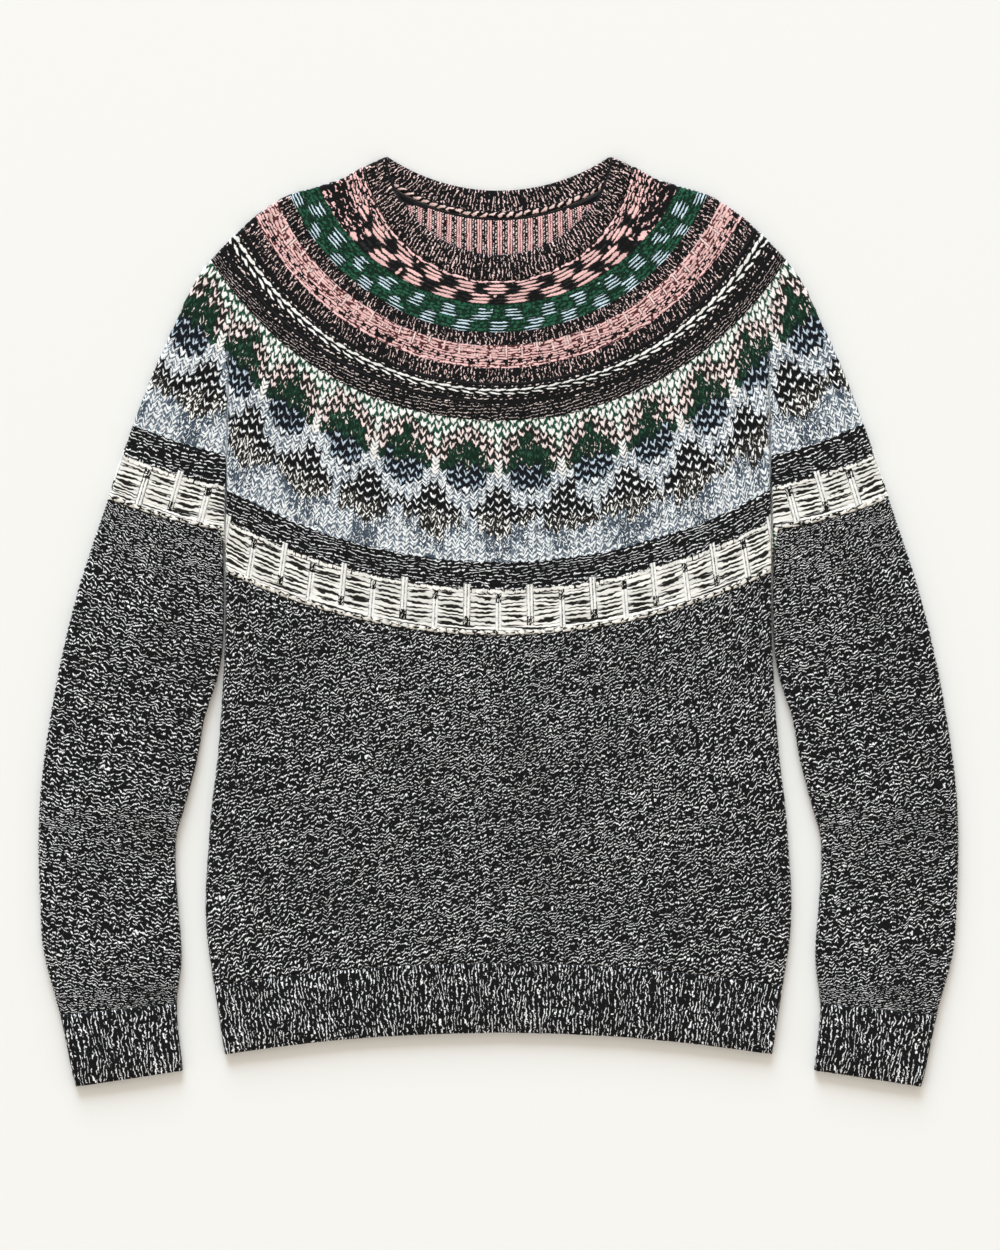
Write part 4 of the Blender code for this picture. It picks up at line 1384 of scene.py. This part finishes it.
def neck_stations():
    """Round the ring: side, share of the half width, and angle, 90 degrees in front and -90 behind."""
    front, back = (cords * NECK_CORD_COLUMNS for cords in NECK_CORDS)
    fold = NECK_FOLD_CORDS * NECK_CORD_COLUMNS
    turn = np.linspace(90, -90, fold + 1)[1:-1]
    along_front, along_back = np.linspace(-1, 1, front + 1), np.linspace(1, -1, back + 1)
    share = np.concatenate((along_front, np.ones(fold - 1), along_back, -np.ones(fold - 1)))
    degrees = np.concatenate((np.full(front + 1, 90.0), turn, np.full(back + 1, -90.0), turn[::-1]))
    return np.where(share < 0, -1.0, 1.0), np.abs(share), np.radians(degrees)


# %% Neckband
def neckband():
    side, share, angle = neck_stations()
    columns = len(side)
    letters = np.full((2 * NECK_COURSES, columns), LETTERS["n"])
    ones = np.ones(2 * NECK_COURSES)
    inside_letters = letters.copy()
    inside_letters[:2] = LETTERS["x"]
    # Painted shade: black stitches on the front's last row near each shoulder, where its edge shades itself
    letters[-1, (angle > 0) & (share > NECK_SHADE)] = LETTERS["k"]
    outside = Stitches(letters, ones * NECK_CORD_COLUMNS, ones * 0, ones * NECK_RELIEF)
    inside = Stitches(inside_letters, ones * NECK_CORD_COLUMNS, ones * 0, ones * NECK_RELIEF)
    rows = 2 * NECK_COURSES + 1
    across = np.linspace(0, 1, rows)[:, None] + np.zeros(columns)
    sink = np.interp(across, NECK_SINK[:, 0], NECK_SINK[:, 1])
    front = (angle >= 0)[None, :] & np.ones((rows, 1), bool)
    every = np.zeros((rows, 1))
    cosine, sine, side, share = (values + every for values in (np.cos(angle), np.sin(angle), side, share))
    # Both surfaces lie round the band's middle height, and their stitches rise away from the cloth
    middle = NECK_TOP / 2
    rise, rise_inside = outside.height[:, :columns] - SUNK, inside.height[:, :columns] - SUNK
    rise_inside[:2] += CHAIN_RISE
    outward_by = middle - sink + rise * np.maximum(sine, 0)
    hollow = middle - WALL + sink / 2 - rise_inside * np.maximum(-sine, 0)
    wall = Wall()
    numbers = []
    for depth, height, stitches, spot, down in (
        (outward_by, np.where(front, outward_by, middle), outside, NECK_SPOTS[0], False),
        (hollow, hollow, inside, NECK_SPOTS[1], True),
    ):
        plan = neck_place(across, side, front, share, middle - depth * cosine)
        points = np.concatenate((plan, (middle + height * sine)[..., None]), -1)
        numbers.append(wall.surface(points, stitches, spot, down=not down, ring=True))
    for row, flip in ((0, True), (-1, False)):
        wall.strip(zipper(numbers[0][row], numbers[1][row]), "n", flip)
    wall.finish("neckband_knit", "neckband", rose_marl_wool)


neckband()

# %% [markdown]
# ## Table, light and camera
#
# The sweater lies on a pale table under one broad soft light from the neck's side and even light from all
# round, so that soft shadows fall below the hem and the cuffs. Several lamps could give light as soft, but
# each would cast a shadow of its own. The camera looks straight down from 3 m through a long lens, so it
# sees no edge at a slant.

# %% Table
scene = bpy.context.scene
scene.view_settings.view_transform = "Standard"

bpy.ops.object.select_all(action="DESELECT")
bpy.ops.mesh.primitive_plane_add(size=12)
table = bpy.context.object
table.name = "table"
paper = bpy.data.materials.new("pale_table")
paper.use_nodes = True
shader = paper.node_tree.nodes["Principled BSDF"]
shader.inputs["Base Color"].default_value = (0.90, 0.90, 0.88, 1)
shader.inputs["Roughness"].default_value = 0.9
table.data.materials.append(paper)
table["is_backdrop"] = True
print("table:", table.name, "with", paper.name)

# %% Light
world = bpy.data.worlds.new("studio")
world.use_nodes = True
sky = world.node_tree.nodes["Background"]
sky.inputs["Color"].default_value = (1.0, 0.92, 0.82, 1)
sky.inputs["Strength"].default_value = 0.745
scene.world = world

KEY_PLACE = (-4.0, 30.0, 13.0)  # in metres
light = bpy.data.lights.new("key", "AREA")
light.shape = "SQUARE"
light.size = 18.0
light.energy = 11850
light.color = (0.75, 0.877, 0.995)
lamp = bpy.data.objects.new("key", light)
lamp.location = KEY_PLACE
lamp.rotation_euler = Vector(KEY_PLACE).to_track_quat("Z", "Y").to_euler()
scene.collection.objects.link(lamp)
print("key light:", light.energy, "W, even light:", round(sky.inputs["Strength"].default_value, 3))

# %% Camera
CAMERA_HEIGHT = 3.0  # above the cloth's upper surface
CLOTH_HEIGHT = 0.007
PIXEL = 0.77 * MM  # what a pixel of the picture shows at that surface
PICTURE_HEIGHT = 1250  # in pixels
ASIDE, UP = 1.5, -2.5  # how far the picture's centre is from the outline's origin, in pixels
SENSOR = 24
camera_data = bpy.data.cameras.new("camera")
camera_data.sensor_fit = "VERTICAL"
camera_data.sensor_height = SENSOR
camera_data.lens = SENSOR * CAMERA_HEIGHT / (PICTURE_HEIGHT * PIXEL)
camera = bpy.data.objects.new("camera", camera_data)
camera.location = (ASIDE * PIXEL, UP * PIXEL - MIDDLE[1] * MM, CAMERA_HEIGHT + CLOTH_HEIGHT)
scene.collection.objects.link(camera)
scene.camera = camera
print("focal length:", round(camera_data.lens, 1), "mm")

# %% [markdown]
# ## Bounds
#
# The last cell gathers the box round the solids from model.glb and the box round the finished scene.

# %% Bounding boxes
boxes = {"cad": cad_box, "scene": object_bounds()}
{name: [[float(v) for v in corner] for corner in box] for name, box in boxes.items()}
